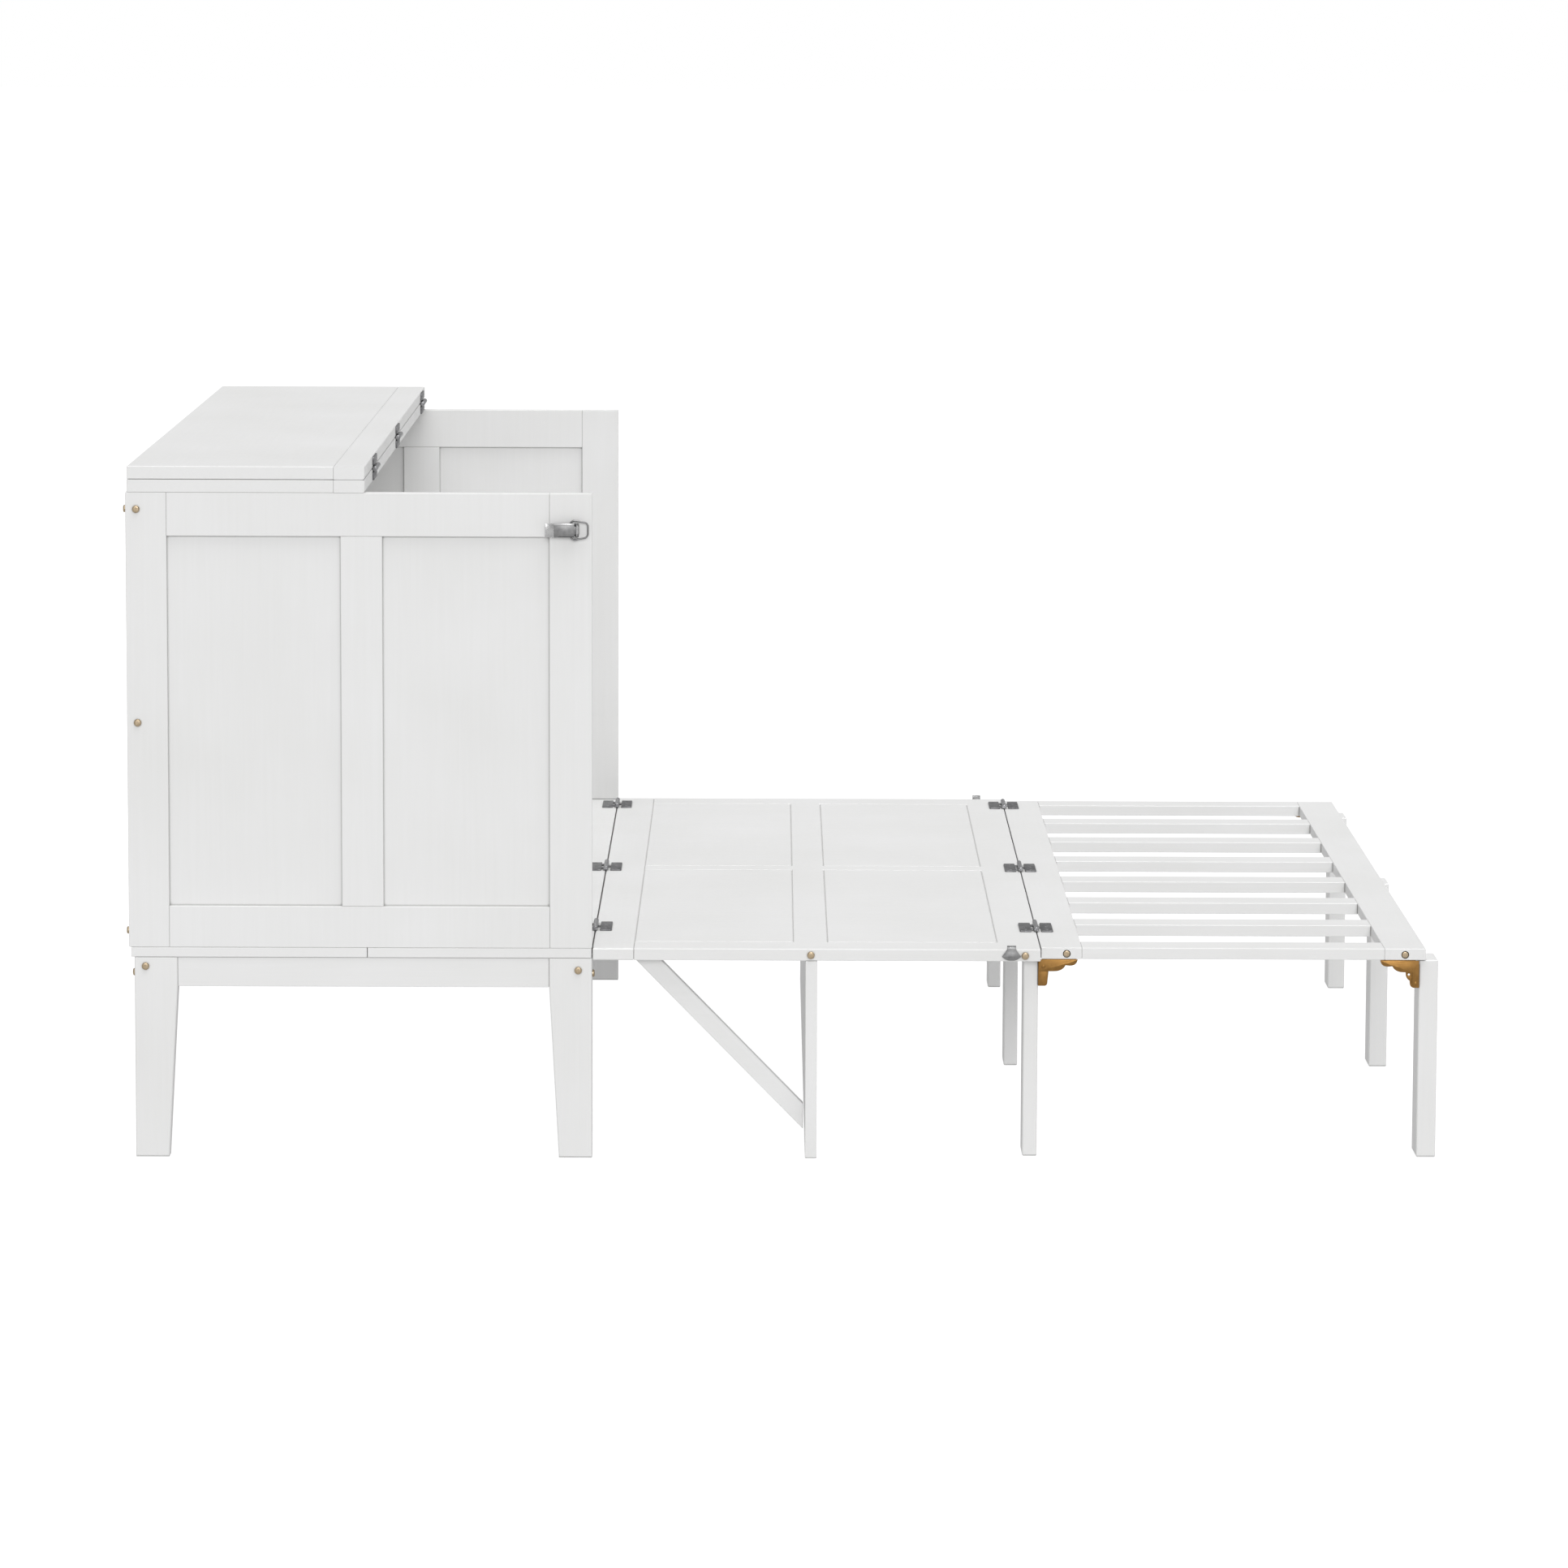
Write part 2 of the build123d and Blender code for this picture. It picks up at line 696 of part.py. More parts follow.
def leg_set():
    """All six folding legs with their brackets: legs, arms and the plates."""
    seam_top = seam_pivot[1] - (seam_arm[0][0] - seam_pivot[0])
    seam_parts = bracket(seam_pivot, seam_arm_face(), seam_top, seam_arm[-1][1])
    end_parts = bracket(end_pivot, end_arm_face(), end_arm_top, end_arm[-1][1])
    end_parts = [part.mirror(Plane.YZ) for part in end_parts]
    legs = {}
    arms = {}
    plates = []
    for end, x, face_x, parts in (("seam", seam_leg_x, seam_leg_x[1], seam_parts),
                                  ("end", end_leg_x, end_leg_x[0], end_parts)):
        for row, y in leg_rows.items():
            inward = -1 if row == "far" else 1
            edge = y - inward * (fold_leg_width / 2 + bracket_layers)
            handed = parts if inward > 0 else [mirrored(part) for part in parts]
            plate, arm = [Pos(face_x, edge, under_foot) * part for part in handed]
            legs[f"{end}_leg_{row}"] = folding_leg(x, y)
            arms[f"{end}_leg_{row}_bracket_arm"] = arm
            plates.append(plate)
    return legs, arms, plates


# ---- draw latch and strike ----------------------------------------------------------


def latch_base():
    """Base plate of the near latch with its two ears and the lever's pin."""
    face = -half
    z = (latch_z - 9.0, latch_z + 9.0)
    plate = block((-62.0, -17.0), (face - 1.6, face), z)
    pivot_y = face - latch_pivot_out
    for low in (-8.6, 7.0):
        ear_z = (latch_z + low, latch_z + low + 1.6)
        ear_x = (latch_pivot - latch_ear, latch_pivot + latch_ear)
        plate += block(ear_x, (pivot_y - 1.0, face), ear_z)
        plate += rod((latch_pivot, pivot_y, ear_z[0]), (0, 0, 1), latch_ear, 1.6)
    pin_low = latch_z - lever_half - 0.6
    return plate + rod((latch_pivot, pivot_y, pin_low), (0, 0, 1), 1.6, 2 * lever_half + 1.2)


def latch_lever():
    """The near lever: a channel over the base, with a lifted tip at the -X end."""
    pivot_y = -half - latch_pivot_out
    outer = pivot_y - 6.0
    skin = block((lever_tip + 13.0, latch_pivot + 1.0), (outer, outer + 1.8),
                 (latch_z - lever_half, latch_z + lever_half))
    tip_face = Polyline(
        (lever_tip + 13.5, outer), (lever_tip, outer - 3.0), (lever_tip, outer - 1.2),
        (lever_tip + 13.5, outer + 1.8), close=True)
    tip = Pos(0, 0, latch_z - lever_half) * extrude(make_face(tip_face), 2 * lever_half)
    lever = skin + tip
    for low in (-lever_half, lever_half - 1.6):
        z = (latch_z + low, latch_z + low + 1.6)
        lever += block((lever_tip + 20.0, latch_pivot), (outer, pivot_y + 1.5), z)
        lever += rod((latch_pivot, pivot_y, z[0]), (0, 0, 1), 3.4, 1.6)
    lever -= rod((latch_pivot, pivot_y, latch_z - 20), (0, 0, 1), 1.7, 40)
    return lever - rod((bail_pivot, pivot_y, latch_z - 20), (0, 0, 1), bail_wire + 0.1, 40)


def latch_bail():
    """The near wire bail: one closed ring whose rear side turns in the lever."""
    y = -half - latch_pivot_out
    corners = [
        (bail_pivot, y, latch_z - bail_half_rear),
        (bail_front, y, latch_z - bail_half_front),
        (bail_front, y, latch_z + bail_half_front),
        (bail_pivot, y, latch_z + bail_half_rear),
    ]
    path = FilletPolyline(*corners, radius=5.5, close=True)
    section = Plane(origin=path @ 0, z_dir=path % 0) * Circle(bail_wire)
    return sweep(section, path)


def strike():
    """The near strike: a fan-shaped plate on the panel's edge with a lipped tab."""
    bottom = under_panel + 0.8
    shoulder = base_top - 1.5
    wide_z = bottom + 7.0
    neck = strike_neck / 2
    fan = strike_fan / 2
    outline = (
        Line((-neck, base_top + strike_tab), (neck, base_top + strike_tab))
        + Line((neck, base_top + strike_tab), (neck, shoulder))
        + Line((neck, shoulder), (fan, wide_z))
        + ThreePointArc((fan, wide_z), (0, bottom), (-fan, wide_z))
        + Line((-fan, wide_z), (-neck, shoulder))
        + Line((-neck, shoulder), (-neck, base_top + strike_tab)))
    place = Plane(origin=(strike_x, -half, 0), x_dir=(1, 0, 0), z_dir=(0, -1, 0))
    plate = extrude(place * make_face(outline), strike_plate)
    lip = block((strike_x - neck, strike_x + neck), (-half - strike_lip, -half),
                (base_top + strike_tab - strike_plate, base_top + strike_tab))
    return plate + lip


# ---- write the parts ----------------------------------------------------------------

near_frame = side_frame()
near_infill = side_infill()
save("side_frame_near", *near_frame)
save("side_frame_far", *[mirrored(s) for s in near_frame])
save("side_infill_near", *near_infill)
save("side_infill_far", *[mirrored(s) for s in near_infill])
save("back_frame", *back_frame())
save("back_infill", *back_infill())

base_rear, base_front = base_boards()
save("base_board_rear", base_rear)
save("base_board_front", base_front)
save("base_bearers", *base_bearers())

apron = side_apron()
save("side_aprons", apron, mirrored(apron))
save("rear_apron", cross_apron(rear_leg_rear, 1))
save("front_apron", cross_apron(front_leg_front, -1))

rear_legs, front_legs = cabinet_legs()
save("rear_legs", *rear_legs)
save("front_legs", *front_legs)
save("cabinet_bolts", *both_sides(bolt, cabinet_bolts))

lid_board, lid_edge = lid_leaf_pair((side_top, side_top + lid_thick))
flap_board, flap_edge = lid_leaf_pair((lid_top - lid_thick, lid_top))
save("lid_rear_board", lid_board)
save("lid_rear_edging", lid_edge)
save("lid_flap_board", flap_board)
save("lid_flap_edging", flap_edge)

lid_fixed, lid_moving = lid_hinges()
save("lid_hinges_fixed", *lid_fixed)
save("lid_hinges_moving", *lid_moving)

seam_fixed, seam_moving = seam_hinges(0.0)
foot_fixed, foot_moving = seam_hinges(panel_length)
save("base_hinges_fixed", *seam_fixed)
save("base_hinges_moving", *seam_moving)
save("foot_hinges_fixed", *foot_fixed)
save("foot_hinges_moving", *foot_moving)

save("front_panel_seam_board", panel_seam_board())
save("front_panel_frame", panel_frame())
save("front_panel_fields", *panel_fields())
save("front_panel_bolts", *both_sides(bolt, panel_bolts))
save("latch_strikes", strike(), mirrored(strike()))

support_fixed, support_moving = support_hinges()
brace_fixed, brace_moving = brace_hinge()
save("support_board", support_board())
save("support_hinges_moving", *support_moving)
save("underside_hinges_fixed", *support_fixed, brace_fixed, mirrored(brace_fixed))
save("brace_near", brace())
save("brace_far", mirrored(brace()))
save("brace_near_hinge_leaf", brace_moving)
save("brace_far_hinge_leaf", mirrored(brace_moving))

foot_seam, foot_last = foot_boards()
foot_rails, foot_slats = foot_bars()
save("foot_seam_board", foot_seam)
save("foot_end_board", foot_last)
save("foot_side_rails", *foot_rails)
save("foot_slats", *foot_slats)
save("foot_bolts", *both_sides(bolt, foot_bolts))

legs, arms, plates = leg_set()
for node, solid in {**legs, **arms}.items():
    save(node, solid)
save("leg_bracket_plates", *plates)

latch = latch_base()
lever = latch_lever()
bail = latch_bail()
save("latch_bases", latch, mirrored(latch))
save("latch_lever_near", lever)
save("latch_lever_far", mirrored(lever))
save("latch_bail_near", bail)
save("latch_bail_far", mirrored(bail))
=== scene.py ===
"""Looks of a free-standing cabinet bed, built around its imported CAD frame.

Lengths in the classes are millimetres and the frame is in metres. +X runs from the cabinet
to the foot of the bed, +Z is up, and the near side is -Y.
"""

import json
import logging
import math
from dataclasses import dataclass
from enum import Enum
from typing import Any, Iterable, Mapping, Optional, Sequence

import bmesh
import bpy
from mathutils import Matrix, Vector

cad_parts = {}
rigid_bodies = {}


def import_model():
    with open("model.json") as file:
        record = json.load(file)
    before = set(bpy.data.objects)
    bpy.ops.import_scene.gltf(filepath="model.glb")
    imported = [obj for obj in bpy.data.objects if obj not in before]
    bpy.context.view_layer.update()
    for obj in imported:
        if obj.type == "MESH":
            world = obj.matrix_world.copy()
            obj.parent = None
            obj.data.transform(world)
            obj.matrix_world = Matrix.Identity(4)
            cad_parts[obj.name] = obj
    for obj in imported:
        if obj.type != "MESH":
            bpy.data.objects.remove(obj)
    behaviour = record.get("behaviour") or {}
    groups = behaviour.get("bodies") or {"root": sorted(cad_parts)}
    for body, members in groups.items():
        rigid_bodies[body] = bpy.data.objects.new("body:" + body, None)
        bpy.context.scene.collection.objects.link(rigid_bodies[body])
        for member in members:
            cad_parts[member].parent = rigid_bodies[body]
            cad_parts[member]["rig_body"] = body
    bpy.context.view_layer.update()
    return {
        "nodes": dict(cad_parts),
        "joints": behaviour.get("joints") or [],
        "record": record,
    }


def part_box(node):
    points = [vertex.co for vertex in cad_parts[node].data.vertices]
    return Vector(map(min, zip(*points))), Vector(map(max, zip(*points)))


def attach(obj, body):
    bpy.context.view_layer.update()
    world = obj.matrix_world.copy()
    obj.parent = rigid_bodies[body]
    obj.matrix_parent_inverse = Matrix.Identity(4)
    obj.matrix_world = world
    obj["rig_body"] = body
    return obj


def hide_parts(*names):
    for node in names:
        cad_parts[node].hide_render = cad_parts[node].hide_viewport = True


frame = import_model()

MM = 0.001
NOISE_MIDDLE = (0.3, 0.7)
CREASE_DEGREES = 32.0
LOG = logging.getLogger("cabinet_bed")
Corner = tuple[float, float, float]
Span = tuple[float, float]


# ---- finishes -----------------------------------------------------------------------


def linear(code: str) -> tuple[float, float, float, float]:
    """Turns an sRGB hex colour into linear red, green, blue and alpha.

    Args:
        code: six hex digits, such as "e8e8e6".

    Returns:
        The linear colour with an alpha of one.
    """
    parts = [int(code[i:i + 2], 16) / 255.0 for i in (0, 2, 4)]
    bent = [c / 12.92 if c <= 0.04045 else ((c + 0.055) / 1.055) ** 2.4 for c in parts]
    return (bent[0], bent[1], bent[2], 1.0)


def add_node(tree: bpy.types.NodeTree, kind: str, settings: Mapping[Any, Any],
             links: Mapping[Any, bpy.types.NodeSocket]) -> bpy.types.Node:
    """Adds one node with its settings and links.

    Args:
        tree: the node tree to add to.
        kind: the node's type name.
        settings: socket names or numbers with their values, or the node's own properties.
        links: socket names or numbers with the output that feeds each.

    Returns:
        The new node.
    """
    node = tree.nodes.new(kind)
    for key, value in settings.items():
        if isinstance(key, int) or key in node.inputs:
            node.inputs[key].default_value = value
        else:
            setattr(node, key, value)
    for key, source in links.items():
        tree.links.new(source, node.inputs[key])
    return node


def new_material(name: str) -> tuple[bpy.types.Material, bpy.types.NodeTree,
                                     bpy.types.Node, bpy.types.NodeSocket]:
    """Starts a material.

    Args:
        name: the material's name.

    Returns:
        The material, its tree, its Principled shader and an Object coordinate output.
    """
    material = bpy.data.materials.new(name)
    material.use_nodes = True
    tree = material.node_tree
    tree.nodes.clear()
    shader = add_node(tree, "ShaderNodeBsdfPrincipled", {}, {})
    add_node(tree, "ShaderNodeOutputMaterial", {}, {"Surface": shader.outputs["BSDF"]})
    coords = add_node(tree, "ShaderNodeTexCoord", {}, {})
    return material, tree, shader, coords.outputs["Object"]


def noise(tree: bpy.types.NodeTree, coords: bpy.types.NodeSocket, size_mm: float,
          detail: float, **settings: float) -> bpy.types.NodeSocket:
    """Adds a noise whose marks are a number of millimetres wide.

    Args:
        tree: the node tree to add to.
        coords: the coordinates that it is laid out in.
        size_mm: the size of its marks.
        detail: how many finer layers it has.
        settings: other inputs.

    Returns:
        Its value.
    """
    marks = {"Scale": 1.0 / (size_mm * MM), "Detail": detail, **settings}
    return add_node(tree, "ShaderNodeTexNoise", marks, {"Vector": coords}).outputs["Fac"]


def ranged(tree: bpy.types.NodeTree, value: bpy.types.NodeSocket, span: Span,
           onto: Span = (0.0, 1.0)) -> bpy.types.NodeSocket:
    """Stretches a value from one span onto another.

    Args:
        tree: the node tree to add to.
        value: the value.
        span: where it starts and ends.
        onto: where the result starts and ends.

    Returns:
        The result.
    """
    ends = {"From Min": span[0], "From Max": span[1], "To Min": onto[0], "To Max": onto[1]}
    return add_node(tree, "ShaderNodeMapRange", ends, {"Value": value}).outputs["Result"]


def dress(tree: bpy.types.NodeTree, shader: bpy.types.Node, colour: bpy.types.NodeSocket,
          gloss: bpy.types.NodeSocket, height: bpy.types.NodeSocket, strength: float,
          relief_mm: float) -> None:
    """Links colour, roughness and relief to a shader.

    Args:
        tree: the node tree to add to.
        shader: the Principled shader.
        colour: its base colour.
        gloss: its roughness.
        height: the height of its relief.
        strength: strength of the relief.
        relief_mm: depth of the relief.
    """
    bump = add_node(tree, "ShaderNodeBump", {"Strength": strength, "Distance": relief_mm * MM},
                    {"Height": height})
    tree.links.new(colour, shader.inputs["Base Color"])
    tree.links.new(gloss, shader.inputs["Roughness"])
    tree.links.new(bump.outputs["Normal"], shader.inputs["Normal"])


class Grain(Enum):
    """Which way the long fibres of a board run."""

    ALONG_X = (1.0, 0.0, 0.0)
    ALONG_Y = (0.0, 1.0, 0.0)
    ALONG_Z = (0.0, 0.0, 1.0)


@dataclass(frozen=True)
class SatinLacquer:
    """White satin lacquer, sprayed over sanded beech board.

    It gives the eye an even, slightly soft white. The fibres below telegraph as long faint
    streaks, and the sprayed film has a shallow orange peel that breaks up its sheen. Both
    are drawn about three times as coarse as the real ones, so that they show. Within a few
    millimetres of other surfaces, ambient occlusion darkens the colour towards a grey: painted
    shade in the joints, recesses and inner corners, which draws each joint as a fine grey
    line.
    """

    light: str = "e6e6e6"
    dark: str = "e0e0df"
    roughness: Span = (0.36, 0.50)
    fibre_mm: float = 6.0
    fibre_stretch: float = 0.03
    peel_mm: float = 5.0
    tone_mm: float = 260.0
    relief_mm: float = 0.05
    # Painted shade: joint is the grey that ambient occlusion darkens the lacquer towards in
    # joints, recesses and corners.
    joint: str = "acacaa"
    crevice_shade_mm: float = 5.0
    crevice_shade_span: Span = (0.45, 0.85)
    fibre_share: float = 0.45
    fibre_relief: float = 0.6
    relief: float = 0.35

    def build(self, grain: Grain) -> bpy.types.Material:
        """Makes the lacquer for one direction of grain.

        Args:
            grain: the direction of the fibres.

        Returns:
            The material.
        """
        name = f"satin_lacquer_{grain.name.lower()}"
        material, tree, shader, coords = new_material(name)
        squeeze = tuple(self.fibre_stretch if g else 1.0 for g in grain.value)
        along = add_node(tree, "ShaderNodeMapping", {"Scale": squeeze}, {"Vector": coords})
        fibres = noise(tree, along.outputs["Vector"], self.fibre_mm, 4.0, Roughness=0.62,
                       Distortion=0.35)
        peel = noise(tree, coords, self.peel_mm, 2.0)
        tone = noise(tree, coords, self.tone_mm, 3.0)
        blend = add_node(tree, "ShaderNodeMath",
                         {"operation": "MULTIPLY_ADD", 1: self.fibre_share},
                         {0: fibres, 2: tone})
        colour = add_node(tree, "ShaderNodeMix",
                          {"data_type": "RGBA", 6: linear(self.dark), 7: linear(self.light)},
                          {0: ranged(tree, blend.outputs[0], (0.45, 1.0))})
        # Painted shade: ambient occlusion darkens the colour towards the joint grey in joints,
        # recesses and inner corners.
        joint = add_node(tree, "ShaderNodeAmbientOcclusion",
                         {"Distance": self.crevice_shade_mm * MM, "samples": 8},
                         {"Color": colour.outputs[2]})
        crevice_shaded = add_node(tree, "ShaderNodeMix",
                           {"data_type": "RGBA", 6: linear(self.joint)},
                           {0: ranged(tree, joint.outputs["AO"], self.crevice_shade_span),
                            7: colour.outputs[2]})
        height = add_node(tree, "ShaderNodeMath",
                          {"operation": "MULTIPLY_ADD", 1: self.fibre_relief},
                          {0: fibres, 2: peel})
        dress(tree, shader, crevice_shaded.outputs[2],
              ranged(tree, peel, NOISE_MIDDLE, self.roughness), height.outputs[0],
              self.relief, self.relief_mm)
        shader.inputs["IOR"].default_value = 1.5
        shader.inputs["Coat Weight"].default_value = 0.12
        shader.inputs["Coat Roughness"].default_value = 0.3
        return material


@dataclass(frozen=True)
class Metal:
    """A plated or blued metal, with fine rolling lines and soft blotches.

    Attributes:
        name: what the metal is.
        light: the colour where the plating is bright.
        dark: the colour where it is worn or stained.
        roughness: lowest and highest roughness.
        line_mm: spacing of the rolling lines.
        blotch_mm: size of the stains.
        relief_mm: height of the bump.
        metallic: how much of it is bare metal.
        relief: strength of the bump.
    """

    name: str
    light: str
    dark: str
    roughness: Span
    line_mm: float
    blotch_mm: float
    relief_mm: float
    metallic: float = 1.0
    relief: float = 0.4

    def build(self) -> bpy.types.Material:
        """Makes the material, with its lines running along X.

        Returns:
            The material.
        """
        material, tree, shader, coords = new_material(self.name)
        along = add_node(tree, "ShaderNodeMapping", {"Scale": (0.05, 1.0, 1.0)},
                         {"Vector": coords})
        lines = noise(tree, along.outputs["Vector"], self.line_mm, 3.0)
        blotch = noise(tree, coords, self.blotch_mm, 5.0, Roughness=0.6)
        colour = add_node(tree, "ShaderNodeMix",
                          {"data_type": "RGBA", 6: linear(self.dark), 7: linear(self.light)},
                          {0: ranged(tree, blotch, (0.32, 0.62))})
        height = add_node(tree, "ShaderNodeMath", {"operation": "ADD"}, {0: lines, 1: blotch})
        dress(tree, shader, colour.outputs[2],
              ranged(tree, lines, NOISE_MIDDLE, self.roughness), height.outputs[0],
              self.relief, self.relief_mm)
        shader.inputs["Metallic"].default_value = self.metallic
        return material


# Mild steel, rolled and blued: dark grey with a soft sheen, browner where it is handled.
BLUED_STEEL = Metal("blued_steel", "848486", "606062", (0.34, 0.52), 0.8, 9.0, 0.02)
# A lighter copy of the same steel for barrels, pins and screws: painted highlight on the
# rounded knuckles.
STEEL_HIGHLIGHT = Metal("highlight_steel", "a4a4a6", "77777a", (0.24, 0.40), 0.8, 6.0, 0.02)
# Pressed steel under dull zinc: a mid grey with a grainy, satin surface.
ZINC_GREY = Metal("dull_zinc_plate", "929292", "7f7f80", (0.36, 0.52), 0.9, 7.0, 0.02)
# A lighter copy of the same zinc: painted highlight on the lever's lifted tab, rim and curl,
# also used on the latch pin and base screws.
ZINC_HIGHLIGHT = Metal("highlight_zinc_plate", "cccccc", "b8b8b9", (0.2, 0.34), 0.9, 7.0, 0.015)
# A lighter copy of the zinc, between the two: painted highlight on the strike's bend below its
# tab.
ZINC_BEND_HIGHLIGHT = Metal("bend_highlight_zinc_plate", "c4c4c4", "b0b0b1", (0.36, 0.5), 0.9, 7.0, 0.02)
# Brass with an antique wash: warm tan, darker where it is stained.
ANTIQUE_BRASS = Metal("antique_brass", "bfad93", "ab997d", (0.3, 0.46), 0.7, 4.0, 0.02)
# Steel with a yellow chromate: brown gold with a slight mottle from the bath.
CHROMATE = Metal("yellow_chromate_steel", "9a7442", "8d693b", (0.38, 0.55), 1.0, 11.0, 0.03)


# ---- shop tools: solids in millimetres ----------------------------------------------


def box_solid(x: Span, y: Span, z: Span, edge: float = 0.3) -> bmesh.types.BMesh:
    """Makes a bar with rounded edges.

    Args:
        x: its span in X.
        y: its span in Y.
        z: its span in Z.
        edge: radius of its edges.

    Returns:
        The solid.
    """
    spans = (x, y, z)
    middle = Vector(sum(s) / 2 for s in spans)
    size = [abs(s[1] - s[0]) for s in spans]
    place = Matrix.Translation(middle) @ Matrix.Diagonal((*size, 1.0))
    solid = bmesh.new()
    bmesh.ops.create_cube(solid, size=1.0, matrix=place)
    bmesh.ops.bevel(solid, geom=solid.edges[:], offset=edge, segments=2, profile=0.5,
                    affect="EDGES", material=-1)
    return solid


def turned_solid(profile: Sequence[Span], steps: int = 28) -> bmesh.types.BMesh:
    """Turns a profile about Z.

    Args:
        profile: radius and height of each point.
        steps: how many faces go round.

    Returns:
        The solid, which is open only where its profile ends off the axis.
    """
    solid = bmesh.new()
    points = [solid.verts.new((radius, 0.0, height)) for radius, height in profile]
    edges = [solid.edges.new(pair) for pair in zip(points, points[1:])]
    bmesh.ops.spin(solid, geom=points + edges, cent=(0, 0, 0), axis=(0, 0, 1),
                   angle=2 * math.pi, steps=steps, use_merge=True)
    bmesh.ops.remove_doubles(solid, verts=solid.verts[:], dist=1e-4)
    bmesh.ops.recalc_face_normals(solid, faces=solid.faces[:])
    return solid


def ring_solid(inner: float, outer: float, length: float, edge: float = 0.35,
               steps: int = 28) -> bmesh.types.BMesh:
    """Turns a tube about Z, from Z = 0 up.

    Args:
        inner: radius of the bore.
        outer: outer radius.
        length: how long it is.
        edge: chamfer of its outer rims.
        steps: how many faces go round.

    Returns:
        The solid.
    """
    profile = [(inner, 0.0), (outer - edge, 0.0), (outer, edge), (outer, length - edge),
               (outer - edge, length), (inner, length), (inner, 0.0)]
    return turned_solid(profile, steps)


def sharp_edges(solid: bmesh.types.BMesh, limit: float) -> list[bmesh.types.BMEdge]:
    """Finds the edges of a solid whose two faces meet sharply.

    Args:
        solid: the solid.
        limit: degrees above which an edge is sharp.

    Returns:
        The edges.
    """
    bend = math.radians(limit)
    return [e for e in solid.edges if e.is_manifold and e.calc_face_angle(0.0) > bend]


def plate_solid(corners: Sequence[Corner], thick: float, edge: float = 0.3,
                holes: Sequence[Corner] = ()) -> bmesh.types.BMesh:
    """Cuts a plate from its corners in the XY plane, from Z = 0 up.

    Args:
        corners: X and Y of each corner, and how far its rounding reaches.
        thick: thickness of the plate.
        edge: radius of its edges.
        holes: X, Y and radius of each hole.

    Returns:
        The solid.
    """
    solid = bmesh.new()
    points = [solid.verts.new((x, y, 0.0)) for x, y, _ in corners]
    solid.faces.new(points)
    for point, (_, _, reach) in zip(points, corners):
        if reach:
            bmesh.ops.bevel(solid, geom=[point], offset=reach, segments=6, profile=0.5,
                            affect="VERTICES", material=-1)
    if holes:
        bmesh.ops.delete(solid, geom=solid.faces[:], context="FACES_ONLY")
        for x, y, radius in holes:
            bmesh.ops.create_circle(solid, segments=20, radius=radius,
                                    matrix=Matrix.Translation((x, y, 0.0)))
        bmesh.ops.triangle_fill(solid, edges=solid.edges[:], use_beauty=True)
    raised = bmesh.ops.extrude_face_region(solid, geom=solid.faces[:])["geom"]
    top = [item for item in raised if isinstance(item, bmesh.types.BMVert)]
    bmesh.ops.translate(solid, vec=(0, 0, thick), verts=top)
    bmesh.ops.recalc_face_normals(solid, faces=solid.faces[:])
    bmesh.ops.bevel(solid, geom=sharp_edges(solid, 60.0), offset=edge, segments=2,
                    profile=0.5, affect="EDGES", material=-1)
    return solid


def socket_head(profile: Sequence[Span], sides: int, socket: float,
                depth: float) -> bmesh.types.BMesh:
    """Turns a head about Z and sinks a socket with flat sides in its top.

    Args:
        profile: radius and height from the axis below, round the head to the flat on top.
        sides: number of the socket's sides.
        socket: radius of the socket over its corners.
        depth: how deep the socket is.

    Returns:
        The solid.
    """
    solid = turned_solid(profile, 24)
    top = profile[-1][1]
    rim = [e for e in solid.edges if e.is_boundary]
    made = bmesh.ops.create_circle(solid, segments=sides, radius=socket,
                                   matrix=Matrix.Translation((0, 0, top)))
    corner = set(made["verts"])
    mouth = [e for e in solid.edges if set(e.verts) <= corner]
    bmesh.ops.bridge_loops(solid, edges=rim + mouth)
    sunk = bmesh.ops.extrude_edge_only(solid, edges=mouth)["geom"]
    low = {item for item in sunk if isinstance(item, bmesh.types.BMVert)}
    bmesh.ops.translate(solid, vec=(0, 0, -depth), verts=list(low))
    floor = [e for e in sunk if isinstance(e, bmesh.types.BMEdge) and set(e.verts) <= low]
    bmesh.ops.contextual_create(solid, geom=floor)
    bmesh.ops.recalc_face_normals(solid, faces=solid.faces[:])
    return solid


def wood_screw(radius: float = 3.0, proud: float = 0.7) -> bmesh.types.BMesh:
    """Makes a small raised screw head with a square drive, standing on Z = 0.

    Args:
        radius: radius of the head.
        proud: how far it stands above its plate.

    Returns:
        The solid.
    """
    profile = [(0.0, -1.0), (radius * 0.6, -1.0), (radius, 0.0), (radius * 0.97, proud * 0.4),
               (radius * 0.8, proud * 0.8), (radius * 0.55, proud)]
    return socket_head(profile, 4, radius * 0.42, 0.9)


